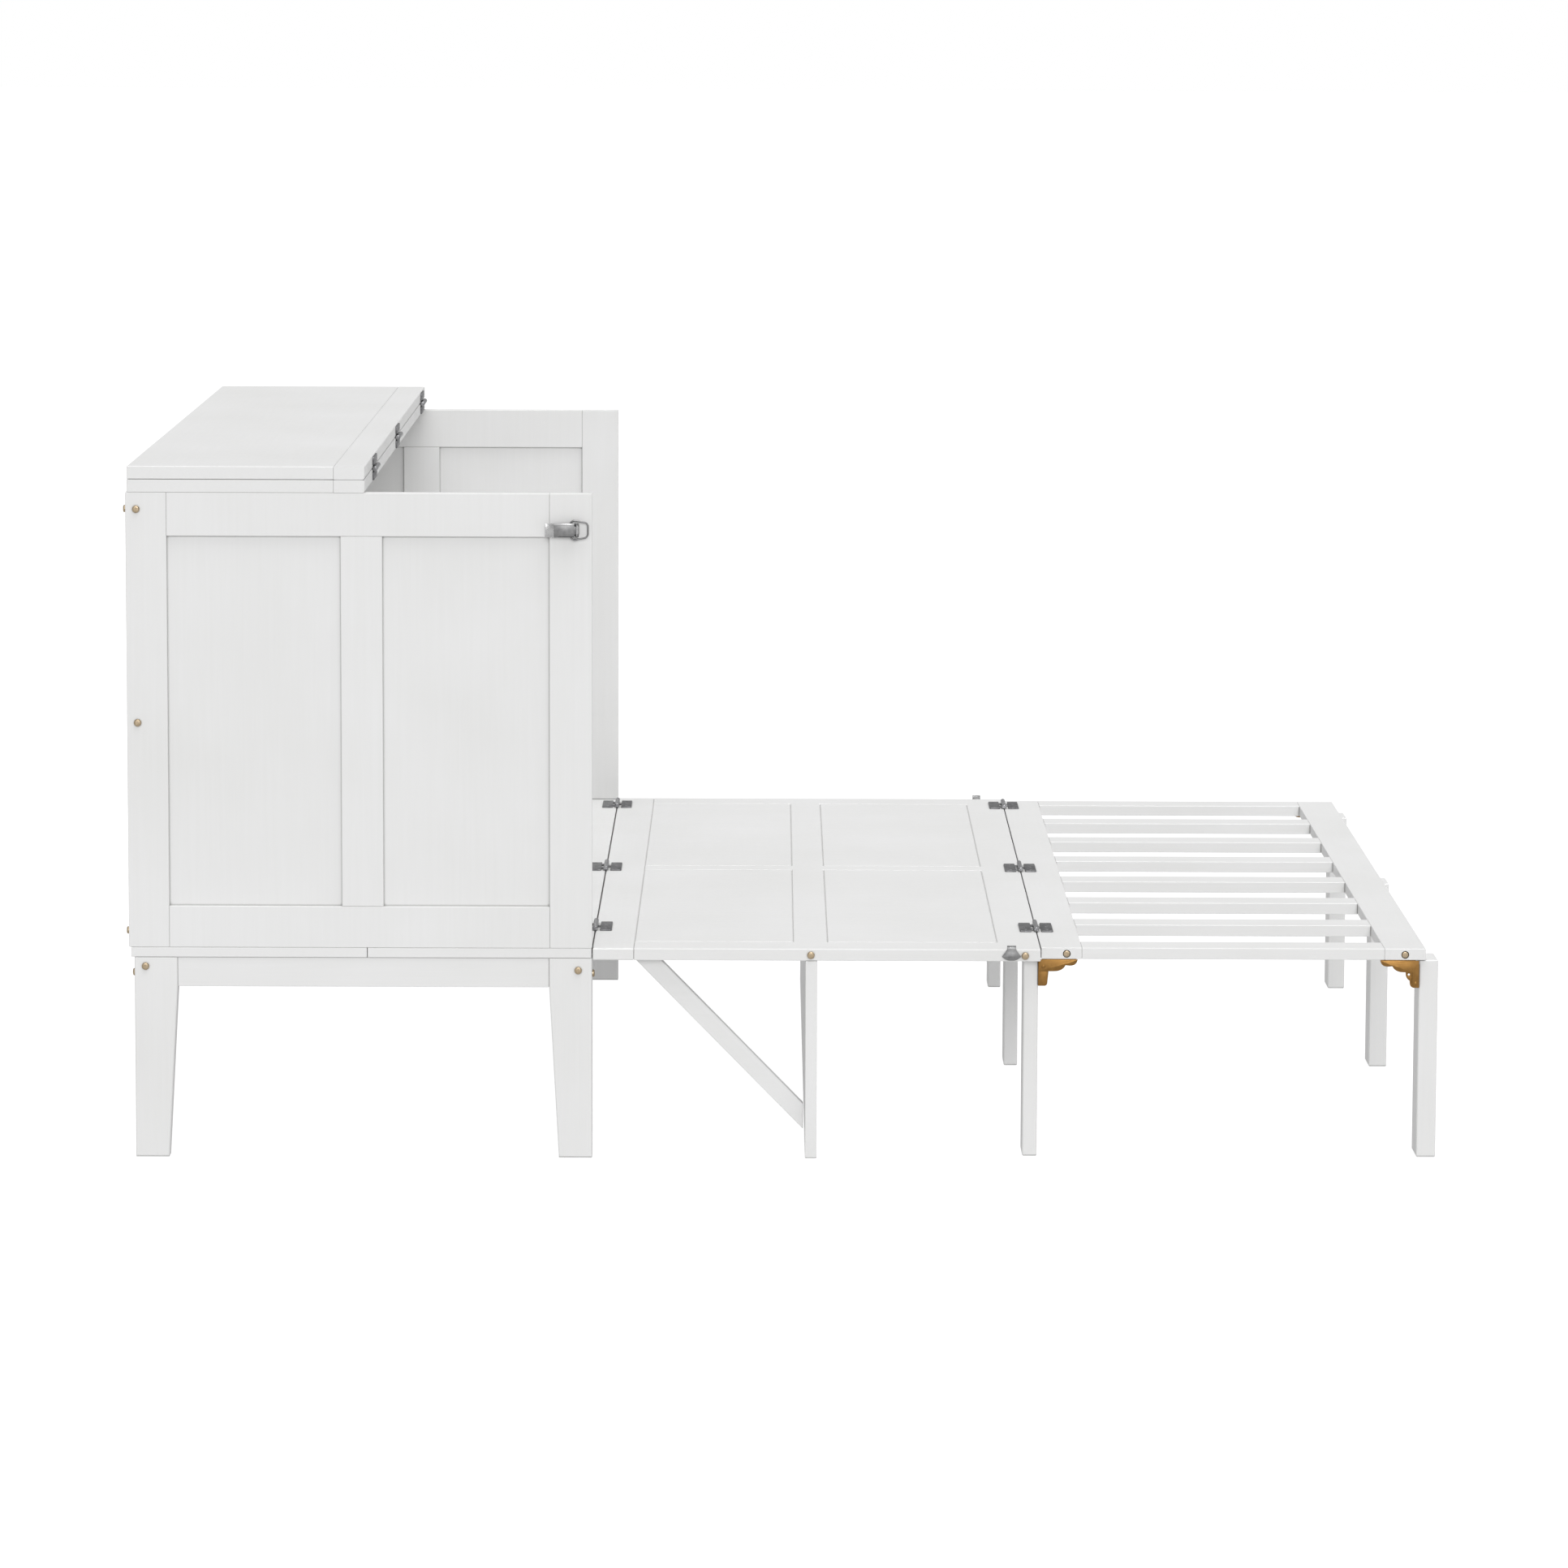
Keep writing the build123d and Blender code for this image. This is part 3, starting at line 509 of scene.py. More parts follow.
def bent_wire(corners: Sequence[Span], bend: float, radius: float) -> bmesh.types.BMesh:
    """Bends a round wire into a closed ring in the XZ plane.

    Args:
        corners: X and Z of each corner of the ring.
        bend: radius of the wire's middle at each corner.
        radius: radius of the wire.

    Returns:
        The solid.
    """
    points = [Vector((x, 0.0, z)) for x, z in corners]
    count = len(points)
    here = (points[0] + points[1]) / 2
    along = (points[1] - points[0]).normalized()
    solid = bmesh.new()
    turn = along.to_track_quat("Z", "Y").to_matrix().to_4x4()
    bmesh.ops.create_circle(solid, segments=14, radius=radius,
                            matrix=Matrix.Translation(here) @ turn)
    ring = solid.edges[:]
    for index in range(1, count + 1):
        corner = points[index % count]
        onward = (points[(index + 1) % count] - corner).normalized()
        angle = along.angle(onward)
        trim = bend * math.tan(angle / 2)
        ring = pulled(solid, ring, corner - along * trim - here)
        inward = (onward - along * along.dot(onward)).normalized()
        centre = corner - along * trim + inward * bend
        bent = bmesh.ops.spin(solid, geom=ring, cent=centre, axis=along.cross(inward),
                              angle=angle, steps=5, use_merge=False)["geom_last"]
        ring = [item for item in bent if isinstance(item, bmesh.types.BMEdge)]
        here = corner + onward * trim
        along = onward
    pulled(solid, ring, (points[0] + points[1]) / 2 - here)
    bmesh.ops.remove_doubles(solid, verts=solid.verts[:], dist=1e-3)
    bmesh.ops.recalc_face_normals(solid, faces=solid.faces[:])
    return solid


def pulled(solid: bmesh.types.BMesh, ring: list[bmesh.types.BMEdge],
           step: Vector) -> list[bmesh.types.BMEdge]:
    """Pulls a ring of edges along and leaves a tube behind it.

    Args:
        solid: the solid that the ring belongs to.
        ring: the edges of the ring.
        step: how far it goes.

    Returns:
        The edges of the new ring.
    """
    made = bmesh.ops.extrude_edge_only(solid, edges=ring)["geom"]
    fresh = {item for item in made if isinstance(item, bmesh.types.BMVert)}
    bmesh.ops.translate(solid, vec=step, verts=list(fresh))
    return [e for e in made if isinstance(e, bmesh.types.BMEdge) and set(e.verts) <= fresh]


# ---- places read from the frame -----------------------------------------------------


@dataclass(frozen=True)
class Island:
    """One solid of a CAD node: its lowest and highest corners and its points, in metres."""

    low: Vector
    high: Vector
    points: tuple[Vector, ...]

    @property
    def middle(self) -> Vector:
        """Finds the middle of its box.

        Returns:
            The point, in metres.
        """
        return (self.low + self.high) / 2


def islands(node: str) -> list[Island]:
    """Splits a CAD node into its separate solids, on a copy of its mesh.

    Args:
        node: the node's name.

    Returns:
        The solids, sorted by the middle of their boxes.
    """
    copy = bmesh.new()
    copy.from_mesh(frame["nodes"][node].data)
    bmesh.ops.remove_doubles(copy, verts=copy.verts[:], dist=1e-6)
    waiting = set(copy.verts)
    found = []
    for first in copy.verts:
        if first not in waiting:
            continue
        waiting.discard(first)
        group, frontier = [first], [first]
        while frontier:
            for edge in frontier.pop().link_edges:
                for vert in edge.verts:
                    if vert in waiting:
                        waiting.discard(vert)
                        group.append(vert)
                        frontier.append(vert)
        points = tuple(v.co.copy() for v in group)
        low = Vector(min(p[i] for p in points) for i in range(3))
        high = Vector(max(p[i] for p in points) for i in range(3))
        found.append(Island(low, high, points))
    copy.free()
    return sorted(found, key=lambda s: tuple(round(c, 4) for c in s.middle))


def joint_place(name: str) -> Vector:
    """Finds the point that a joint turns about.

    Args:
        name: the joint's name.

    Returns:
        The point, in metres.
    """
    return Vector(next(j for j in frame["joints"] if j["name"] == name)["pos_m"])


def body_of(node: str) -> str:
    """Finds the body that a CAD node rides on.

    Args:
        node: the node's name.

    Returns:
        The body's name.
    """
    return frame["nodes"][node]["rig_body"]


def at(point: Iterable[float], turn: Optional[Matrix] = None) -> Matrix:
    """Makes a place from a point in metres and a turn.

    Args:
        point: where the solid's origin goes.
        turn: how it is turned or mirrored first.

    Returns:
        The matrix.
    """
    return Matrix.Translation(Vector(point)) @ (turn or Matrix.Identity(4))


MIRROR_X = Matrix.Scale(-1.0, 4, Vector((1, 0, 0)))
MIRROR_Y = Matrix.Scale(-1.0, 4, Vector((0, 1, 0)))
Z_TO_Y = Matrix.Rotation(math.radians(-90.0), 4, "X")
Z_TO_MINUS_Y = Matrix.Rotation(math.radians(90.0), 4, "X")


class Piece:
    """One finished object, joined from solids that are set into the frame."""

    def __init__(self, name: str, *finishes: bpy.types.Material) -> None:
        """Starts an empty piece.

        Args:
            name: the object's name.
            finishes: its materials, in the order that solids refer to.
        """
        self.name = name
        self.finishes = finishes
        self.work = bmesh.new()

    def add(self, solid: bmesh.types.BMesh, place: Matrix, local: Optional[Matrix] = None,
            finish: int = 0) -> None:
        """Joins a copy of a solid.

        Args:
            solid: the solid, in millimetres.
            place: where its sub-assembly goes, in metres.
            local: where it goes within its sub-assembly, in millimetres.
            finish: which of the piece's materials it takes.
        """
        mesh = bpy.data.meshes.new("blank")
        solid.to_mesh(mesh)
        whole = place @ Matrix.Scale(MM, 4) @ (local or Matrix.Identity(4))
        mesh.transform(whole)
        if whole.determinant() < 0:
            mesh.flip_normals()
        first = len(self.work.faces)
        self.work.from_mesh(mesh)
        self.work.faces.ensure_lookup_table()
        for face in self.work.faces[first:]:
            face.material_index = finish
        bpy.data.meshes.remove(mesh)

    def deliver(self, body: str, slot: str, *nodes: str) -> bpy.types.Object:
        """Ends the piece as an object that rides on a body.

        Args:
            body: the CAD body.
            slot: the record's material slot; not used.
            nodes: the CAD nodes that it stands for.

        Returns:
            The object.
        """
        mesh = bpy.data.meshes.new(self.name)
        self.work.to_mesh(mesh)
        self.work.free()
        mesh.shade_smooth()
        mesh.set_sharp_from_angle(angle=math.radians(CREASE_DEGREES))
        for finish in self.finishes:
            mesh.materials.append(finish)
        piece = bpy.data.objects.new(self.name, mesh)
        bpy.context.scene.collection.objects.link(piece)
        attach(piece, body)
        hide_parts(*nodes)
        LOG.info("%s: %d faces on %s", self.name, len(mesh.polygons), body)
        return piece


# ---- painted boards -----------------------------------------------------------------


@dataclass
class PaintedBoards:
    """Every lacquered board, which keeps its CAD mesh and gets its finish.

    Attributes:
        lacquer: the finish.
        shading_limit: degrees above which two faces meet in a crisp edge.
    """

    lacquer: SatinLacquer = SatinLacquer()
    shading_limit: float = 25.0

    def grain_of(self, node: str) -> Grain:
        """Says which way the fibres of a node's boards run.

        Args:
            node: the node's name.

        Returns:
            The direction.
        """
        across = ("lid", "back", "base_board", "bearers", "rear_apron", "front_apron",
                  "support_board", "seam_board", "end_board")
        upright = ("legs", "seam_leg", "end_leg", "side_frame", "side_infill")
        if any(word in node for word in upright):
            return Grain.ALONG_Z
        if any(word in node for word in across):
            return Grain.ALONG_Y
        return Grain.ALONG_X

    def build(self) -> None:
        """Dresses every node of the painted slot."""
        finishes = {grain: self.lacquer.build(grain) for grain in Grain}
        painted = [part["node"] for part in frame["record"]["subparts"]
                   if part["material_slot"] == "painted_wood"]
        for node in painted:
            mesh = frame["nodes"][node].data
            mesh.materials.clear()
            mesh.materials.append(finishes[self.grain_of(node)])
            mesh.shade_smooth()
            mesh.set_sharp_from_angle(angle=math.radians(self.shading_limit))
        LOG.info("painted boards: %d nodes", len(painted))


# ---- bolts --------------------------------------------------------------------------


@dataclass
class ButtonBolts:
    """Button-head bolts with a hexagon socket.

    Attributes:
        head_radius: radius of the head.
        head: height of the head.
        cad_head: height of the plain head in the CAD.
        shank: radius of the shank.
        socket: radius of the socket over its corners.
        socket_depth: depth of the socket.
    """

    head_radius: float = 5.95
    head: float = 3.9
    cad_head: float = 4.0
    shank: float = 3.0
    socket: float = 1.7
    socket_depth: float = 0.7

    def bolt(self, length: float) -> bmesh.types.BMesh:
        """Makes a bolt with its head above Z = 0 and its shank below.

        Args:
            length: length of the shank.

        Returns:
            The solid.
        """
        side = self.head * 0.42
        crown = self.head - side
        dome = [(self.head_radius - crown * 0.8 * (1 - math.cos(a)),
                 side + crown * math.sin(a))
                for a in (math.radians(d) for d in (0, 22, 45, 67, 90))]
        profile = [(0.0, -length), (self.shank - 0.7, -length), (self.shank, 0.7 - length),
                   (self.shank, 0.0), (self.head_radius - 0.3, 0.0), (self.head_radius, 0.3),
                   *dome]
        return socket_head(profile, 6, self.socket, self.socket_depth)

    def place(self, solid: Island) -> tuple[Matrix, float]:
        """Finds where a bolt sits, from its CAD solid.

        Args:
            solid: the bolt's CAD solid.

        Returns:
            The place of the seat of its head, and the length of its shank in millimetres.
        """
        size = solid.high - solid.low
        axis = max(range(3), key=lambda i: size[i])
        side = 1.0 if axis == 1 and solid.middle.y > 0 else -1.0
        if axis == 0:
            wide = [p for p in solid.points if (p - solid.middle).length > size.x / 2]
            side = math.copysign(1.0, sum(p.x - solid.middle.x for p in wide))
        outward = Vector((0.0, 0.0, 0.0))
        outward[axis] = side
        tip = solid.middle.copy()
        tip[axis] = solid.high[axis] if side > 0 else solid.low[axis]
        seat = tip - outward * self.cad_head * MM
        turn = outward.to_track_quat("Z", "Y").to_matrix().to_4x4()
        return at(seat, turn), size[axis] / MM - self.cad_head

    def build(self, brass: bpy.types.Material) -> None:
        """Makes every bolt, with the bolts of one node in one piece.

        Args:
            brass: the finish.
        """
        for node in ("cabinet_bolts", "front_panel_bolts", "foot_bolts"):
            piece = Piece(f"{node}_turned", brass)
            for solid in islands(node):
                place, length = self.place(solid)
                piece.add(self.bolt(length - 0.2), place)
            piece.deliver(body_of(node), "bolt_brass", node)


# ---- hinges -------------------------------------------------------------------------


@dataclass
class SurfaceHinge:
    """A strap hinge about Y, whose leaves lie below its axis.

    Attributes:
        plate: where a leaf's plate starts and ends, from the axis.
        length: length of leaves and barrel.
        axis: height of the axis above the faces that carry the leaves.
        leaf: thickness of a leaf.
        knuckle: radius of the barrel.
        middle: length of the middle knuckle.
        gap: air between two knuckles.
        bore: radius of the bore.
        neck: width of each prong.
        corner: rounding of a leaf's corners.
    """

    plate: Span
    length: float = 75.0
    axis: float = 4.2
    leaf: float = 2.5
    knuckle: float = 4.0
    middle: float = 24.6
    gap: float = 0.4
    bore: float = 2.05
    neck: float = 9.0
    corner: float = 2.2

    def spans(self, outer: bool) -> list[Span]:
        """Gives the knuckles of a leaf: two outer ones or the middle one.

        Args:
            outer: whether the leaf has the outer ones.

        Returns:
            Where each knuckle starts and ends along the axis.
        """
        half, inner = self.length / 2, self.middle / 2
        if outer:
            return [(-half, -inner - self.gap), (inner + self.gap, half)]
        return [(-inner, inner)]

    def add_leaf(self, piece: Piece, place: Matrix, side: float, outer: bool) -> None:
        """Adds a leaf with its knuckles and screws.

        Args:
            piece: the piece that it joins; its second finish is the lighter steel copy that
                paints the highlight on barrels, pins and screws.
            place: where the hinge is.
            side: +1 or -1, the side of the axis that the leaf is on.
            outer: whether it has the two outer knuckles.
        """
        half = self.length / 2
        low = -self.axis
        start, end = self.plate
        sheet = plate_solid(
            [(start, -half, 1.0), (end, -half, self.corner), (end, half, self.corner),
             (start, half, 1.0)], self.leaf, 0.45)
        turn = Matrix.Identity(4) if side > 0 else MIRROR_X
        piece.add(sheet, place, turn @ Matrix.Translation((0, 0, low)))
        for a, b in self.spans(outer):
            # The barrels take the lighter steel copy: a painted highlight on the knuckles.
            barrel = ring_solid(self.bore, self.knuckle, b - a)
            piece.add(barrel, place, Matrix.Translation((0, a, 0)) @ Z_TO_Y, 1)
            mid = 0.0
            if outer:
                mid = math.copysign(self.middle / 2 + self.gap + self.neck / 2, a)
            prong = box_solid((2.4, start + 1.0), (mid - self.neck / 2, mid + self.neck / 2),
                              (low, low + self.leaf), 0.3)
            piece.add(prong, place, turn)
        screw = wood_screw(2.7, 0.6)
        reach = (start + end) / 2
        for y in (-half * 0.72, 0.0, half * 0.72):
            spot = Matrix.Translation((side * reach, y, low + self.leaf))
            piece.add(screw, place, spot, 1)

    def add_pin(self, piece: Piece, place: Matrix) -> None:
        """Adds the pin with a rounded head on each end.

        Args:
            piece: the piece that it joins.
            place: where the hinge is.
        """
        half, radius = self.length / 2, self.bore - 0.05
        head = self.knuckle - 0.8
        profile = [(0.0, -half - 1.0), (head - 0.5, -half - 0.9), (head, -half - 0.5),
                   (head, -half), (radius, -half), (radius, half), (head, half),
                   (head, half + 0.5), (head - 0.5, half + 0.9), (0.0, half + 1.0)]
        # The pin takes the lighter steel copy: a painted highlight.
        piece.add(turned_solid(profile), place, Z_TO_Y, 1)

    def build(self, row: str, joint: str, turn: Matrix, fixed_side: float,
              steel: Sequence[bpy.types.Material]) -> None:
        """Makes a row of hinges: one piece for the fixed leaves, one for the moving.

        Args:
            row: the start of the two CAD nodes' names.
            joint: the joint that the row turns with.
            turn: how a hinge is turned about its axis.
            fixed_side: the side of the fixed leaf, before that turn.
            steel: the finishes of the leaves and of the barrel.
        """
        fixed, moving = f"{row}_fixed", f"{row}_moving"
        axis = joint_place(joint)
        still, swing = Piece(f"{fixed}_leaves", *steel), Piece(f"{moving}_leaves", *steel)
        for solid in islands(moving):
            place = at((axis.x, solid.middle.y, axis.z), turn)
            self.add_leaf(still, place, fixed_side, True)
            self.add_pin(still, place)
            self.add_leaf(swing, place, -fixed_side, False)
        still.deliver(body_of(fixed), "hinge_steel", fixed)
        swing.deliver(body_of(moving), "hinge_steel", moving)


@dataclass
class ButtHinge:
    """A small butt hinge about Y: its fixed leaf above, its moving leaf hanging at -X.

    Attributes:
        radius: radius of the barrel.
        axis: distance from the axis to the faces that carry the leaves.
        leaf: thickness of a leaf.
        reach: reach of a leaf from the axis.
        bore: radius of the bore.
        gap: air between parts that turn against each other.
        screws: distance of a leaf's screws from the axis.
    """

    radius: float = 3.0
    axis: float = 3.3
    leaf: float = 1.8
    reach: float = 20.0
    bore: float = 1.55
    gap: float = 0.4
    screws: float = 13.5

    def add(self, fixed: Piece, moving: Piece, place: Matrix, length: float,
            hang: Span) -> None:
        """Adds one hinge.

        Args:
            fixed: the piece of the fixed leaf.
            moving: the piece of the moving leaf.
            place: where the hinge is.
            length: length of the barrel and the fixed leaf.
            hang: start and end of the moving leaf along Y.
        """
        half, third = length / 2, length / 6
        top = self.axis - self.leaf
        clear = self.radius + self.gap + 0.1
        fixed.add(box_solid((clear, self.reach), (-half, half), (top, self.axis), 0.25), place)
        for a, b in ((-half, -third), (third, half)):
            fixed.add(box_solid((0.0, clear + 1.0), (a, b), (top, self.axis), 0.25), place)
            # The knuckles, pin and screws take the lighter steel copy: a painted highlight.
            fixed.add(ring_solid(self.bore, self.radius, b - a, 0.25), place,
                      Matrix.Translation((0, a, 0)) @ Z_TO_Y, 1)
        pin = turned_solid([(0.0, -half), (self.bore - 0.05, -half), (self.bore - 0.05, half),
                            (0.0, half)])
        fixed.add(pin, place, Z_TO_Y, 1)
        inner = third - self.gap
        sheet = (-self.axis, -top)
        moving.add(box_solid(sheet, hang, (-self.reach, -clear), 0.25), place)
        tab = (max(hang[0], -inner), min(hang[1], inner))
        moving.add(box_solid(sheet, tab, (-clear - 1.0, 0.0), 0.25), place)
        moving.add(ring_solid(self.bore, self.radius, 2 * inner, 0.25), place,
                   Matrix.Translation((0, -inner, 0)) @ Z_TO_Y, 1)
        screw = wood_screw(2.2, 0.5)
        for share in (-0.3, 0.3):
            spot = Matrix.Translation((self.screws, share * length, top))
            fixed.add(screw, place, spot @ Matrix.Rotation(math.pi, 4, "X"), 1)
            y = (hang[0] + hang[1]) / 2 + share * (hang[1] - hang[0])
            turn = Matrix.Rotation(math.radians(90.0), 4, "Y")
            moving.add(screw, place, Matrix.Translation((-top, y, -self.screws)) @ turn, 1)

    def build(self, steel: Sequence[bpy.types.Material]) -> None:
        """Makes the hinges of the support board and of the two braces.

        Args:
            steel: the finishes of the leaves and of the barrel.
        """
        fixed = Piece("underside_hinges_fixed_leaves", *steel)
        moving = Piece("support_hinges_moving_leaves", *steel)
        axis = joint_place("support_fold")
        for solid in islands("support_hinges_moving"):
            self.add(fixed, moving, at((axis.x, solid.middle.y, axis.z)), 60.0, (-30.0, 30.0))
        moving.deliver("support", "hinge_steel", "support_hinges_moving")
        for side, flip in (("near", Matrix.Identity(4)), ("far", MIRROR_Y)):
            node = f"brace_{side}_hinge_leaf"
            swing = Piece(f"{node}_pressed", *steel)
            turn = flip @ Matrix.Rotation(math.radians(90.0), 4, "Z")
            place = at(joint_place(f"brace_{side}_fold"), turn)
            self.add(fixed, swing, place, 34.0, (-17.0, 1.0))
            swing.deliver(f"brace_{side}", "hinge_steel", node)
        fixed.deliver("front_panel", "hinge_steel", "underside_hinges_fixed")


# ---- leg brackets -------------------------------------------------------------------


@dataclass
class LegBracket:
    """A bracket of two cheeks, one under the foot section and one on the leg.

    X = 0 is the face of the leg, Y = 0 the outer face of the fixed cheek and Z = 0 the
    underside of the foot section.

    Attributes:
        pivot: distance of the rivet from the leg and below the foot section.
        cheek: corners of the fixed cheek, with their rounding.
        arm: corners of the cheek on the leg.
        arm_holes: holes in the cheek on the leg.
        arm_span: top and bottom of the arm.
        sheet: thickness of the steel.
        gap: air between the cheeks.
        reach: reach of the fixed flange.
        flange: width of both flanges.
        screws: distance of the fixed flange's screws from the leg.
    """

    pivot: Span
    cheek: Sequence[Corner]
    arm: Sequence[Corner]
    arm_holes: Sequence[Corner]
    arm_span: Span
    sheet: float = 2.5
    gap: float = 0.4
    reach: float = 61.4
    flange: float = 25.0
    screws: Span = (16.0, 50.0)

    def add_plate(self, piece: Piece, place: Matrix) -> None:
        """Adds the fixed cheek with its flange and the rivet.

        Args:
            piece: the piece that it joins.
            place: where the bracket is.
        """
        off, drop = self.pivot
        upright = Matrix.Translation((0, self.sheet, 0)) @ Z_TO_MINUS_Y
        piece.add(plate_solid(self.cheek, self.sheet, 0.4), place, upright)
        flange = box_solid((6.0, self.reach), (self.sheet - 0.8, self.flange),
                           (-self.sheet, 0.0), 0.3)
        piece.add(flange, place)
        end = 2 * self.sheet + self.gap
        profile = [(0.0, -0.8), (1.6, -0.75), (2.6, -0.45), (3.1, 0.05), (2.5, 0.05),
                   (2.5, end + 0.2), (3.1, end + 0.3), (3.0, end + 0.9), (2.0, end + 1.4),
                   (0.0, end + 1.5)]
        piece.add(turned_solid(profile), place, Matrix.Translation((off, 0, -drop)) @ Z_TO_Y)
        screw = wood_screw(3.0, 0.6)
        turn = Matrix.Rotation(math.pi, 4, "X")
        for x in self.screws:
            spot = Matrix.Translation((x, self.flange * 0.62, -self.sheet))
            piece.add(screw, place, spot @ turn)

    def add_arm(self, piece: Piece, place: Matrix) -> None:
        """Adds the cheek on the leg with its flange and screws.

        Args:
            piece: the piece that it joins.
            place: where the bracket is.
        """
        start = self.sheet + self.gap
        upright = Matrix.Translation((0, start + self.sheet, 0)) @ Z_TO_MINUS_Y
        off, drop = self.pivot
        holes = [(off, -drop, 2.6), *self.arm_holes]
        piece.add(plate_solid(self.arm, self.sheet, 0.35, holes), place, upright)
        top, low = self.arm_span
        flange = box_solid((0.0, self.sheet), (start + 0.8, self.flange), (-low, -top), 0.3)
        piece.add(flange, place)
        screw = wood_screw(3.0, 0.6)
        turn = Matrix.Rotation(math.radians(90.0), 4, "Y")
        for share in (0.3, 0.75):
            z = -top - share * (low - top)
            spot = Matrix.Translation((self.sheet, self.flange * 0.66, z))
            piece.add(screw, place, spot @ turn)


@dataclass
class LegBrackets:
    """The six brackets: three at the seam and three at the end of the foot section."""

    lobes: Sequence[Corner] = (
        (0.6, -0.9, 0.0), (63.4, -0.9, 0.4), (61.6, -6.4, 2.5), (57.6, -9.9, 2.0),
        (51.5, -11.1, 2.0), (43.7, -10.3, 0.0), (41.8, -13.6, 1.8), (37.6, -17.4, 2.4),
        (31.0, -19.7, 2.4), (23.5, -20.1, 1.0))
    plain_foot: Sequence[Corner] = ((0.6, -20.1, 1.2),)
    lug_foot: Sequence[Corner] = (
        (11.4, -20.1, 0.0), (11.4, -43.4, 5.2), (0.6, -43.4, 5.2))
    seam_arm: Sequence[Corner] = (
        (0.0, -3.1, 0.0), (17.4, -3.1, 9.3), (17.2, -14.0, 0.0), (14.3, -44.4, 4.2),
        (0.0, -44.4, 0.0))
    end_arm: Sequence[Corner] = (
        (0.0, -8.0, 0.0), (21.7, -8.0, 2.0), (21.7, -31.5, 8.0), (15.2, -34.0, 0.0),
        (14.4, -45.9, 6.6), (0.0, -45.9, 1.0))

    def build(self, chromate: bpy.types.Material) -> None:
        """Makes one piece of fixed plates and a piece for each arm.

        Args:
            chromate: the finish.
        """
        kinds = {
            "seam": LegBracket((8.0, 12.5), (*self.lobes, *self.plain_foot), self.seam_arm,
                               (), (3.1, 44.4)),
            "end": LegBracket((6.0, 38.0), (*self.lobes, *self.lug_foot), self.end_arm,
                              ((16.5, -24.2, 1.8),), (8.0, 45.9)),
        }
        plates = Piece("leg_bracket_plates_pressed", chromate)
        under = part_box("foot_slats")[0].z
        for end, kind in kinds.items():
            for row in ("near", "centre", "far"):
                leg = f"{end}_leg_{row}"
                node = f"{leg}_bracket_arm"
                low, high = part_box(node)
                face = low.x if end == "seam" else high.x
                turn = Matrix.Identity(4) if end == "seam" else MIRROR_X
                inset = (kind.sheet + kind.gap) * MM
                edge = low.y - inset
                if row == "far":
                    edge = high.y + inset
                    turn = MIRROR_Y @ turn
                place = at((face, edge, under), turn)
                kind.add_plate(plates, place)
                arm = Piece(f"{node}_pressed", chromate)
                kind.add_arm(arm, place)
                arm.deliver(leg, "bracket_zinc", node)
        plates.deliver("foot_section", "bracket_zinc", "leg_bracket_plates")


# ---- draw latches -------------------------------------------------------------------


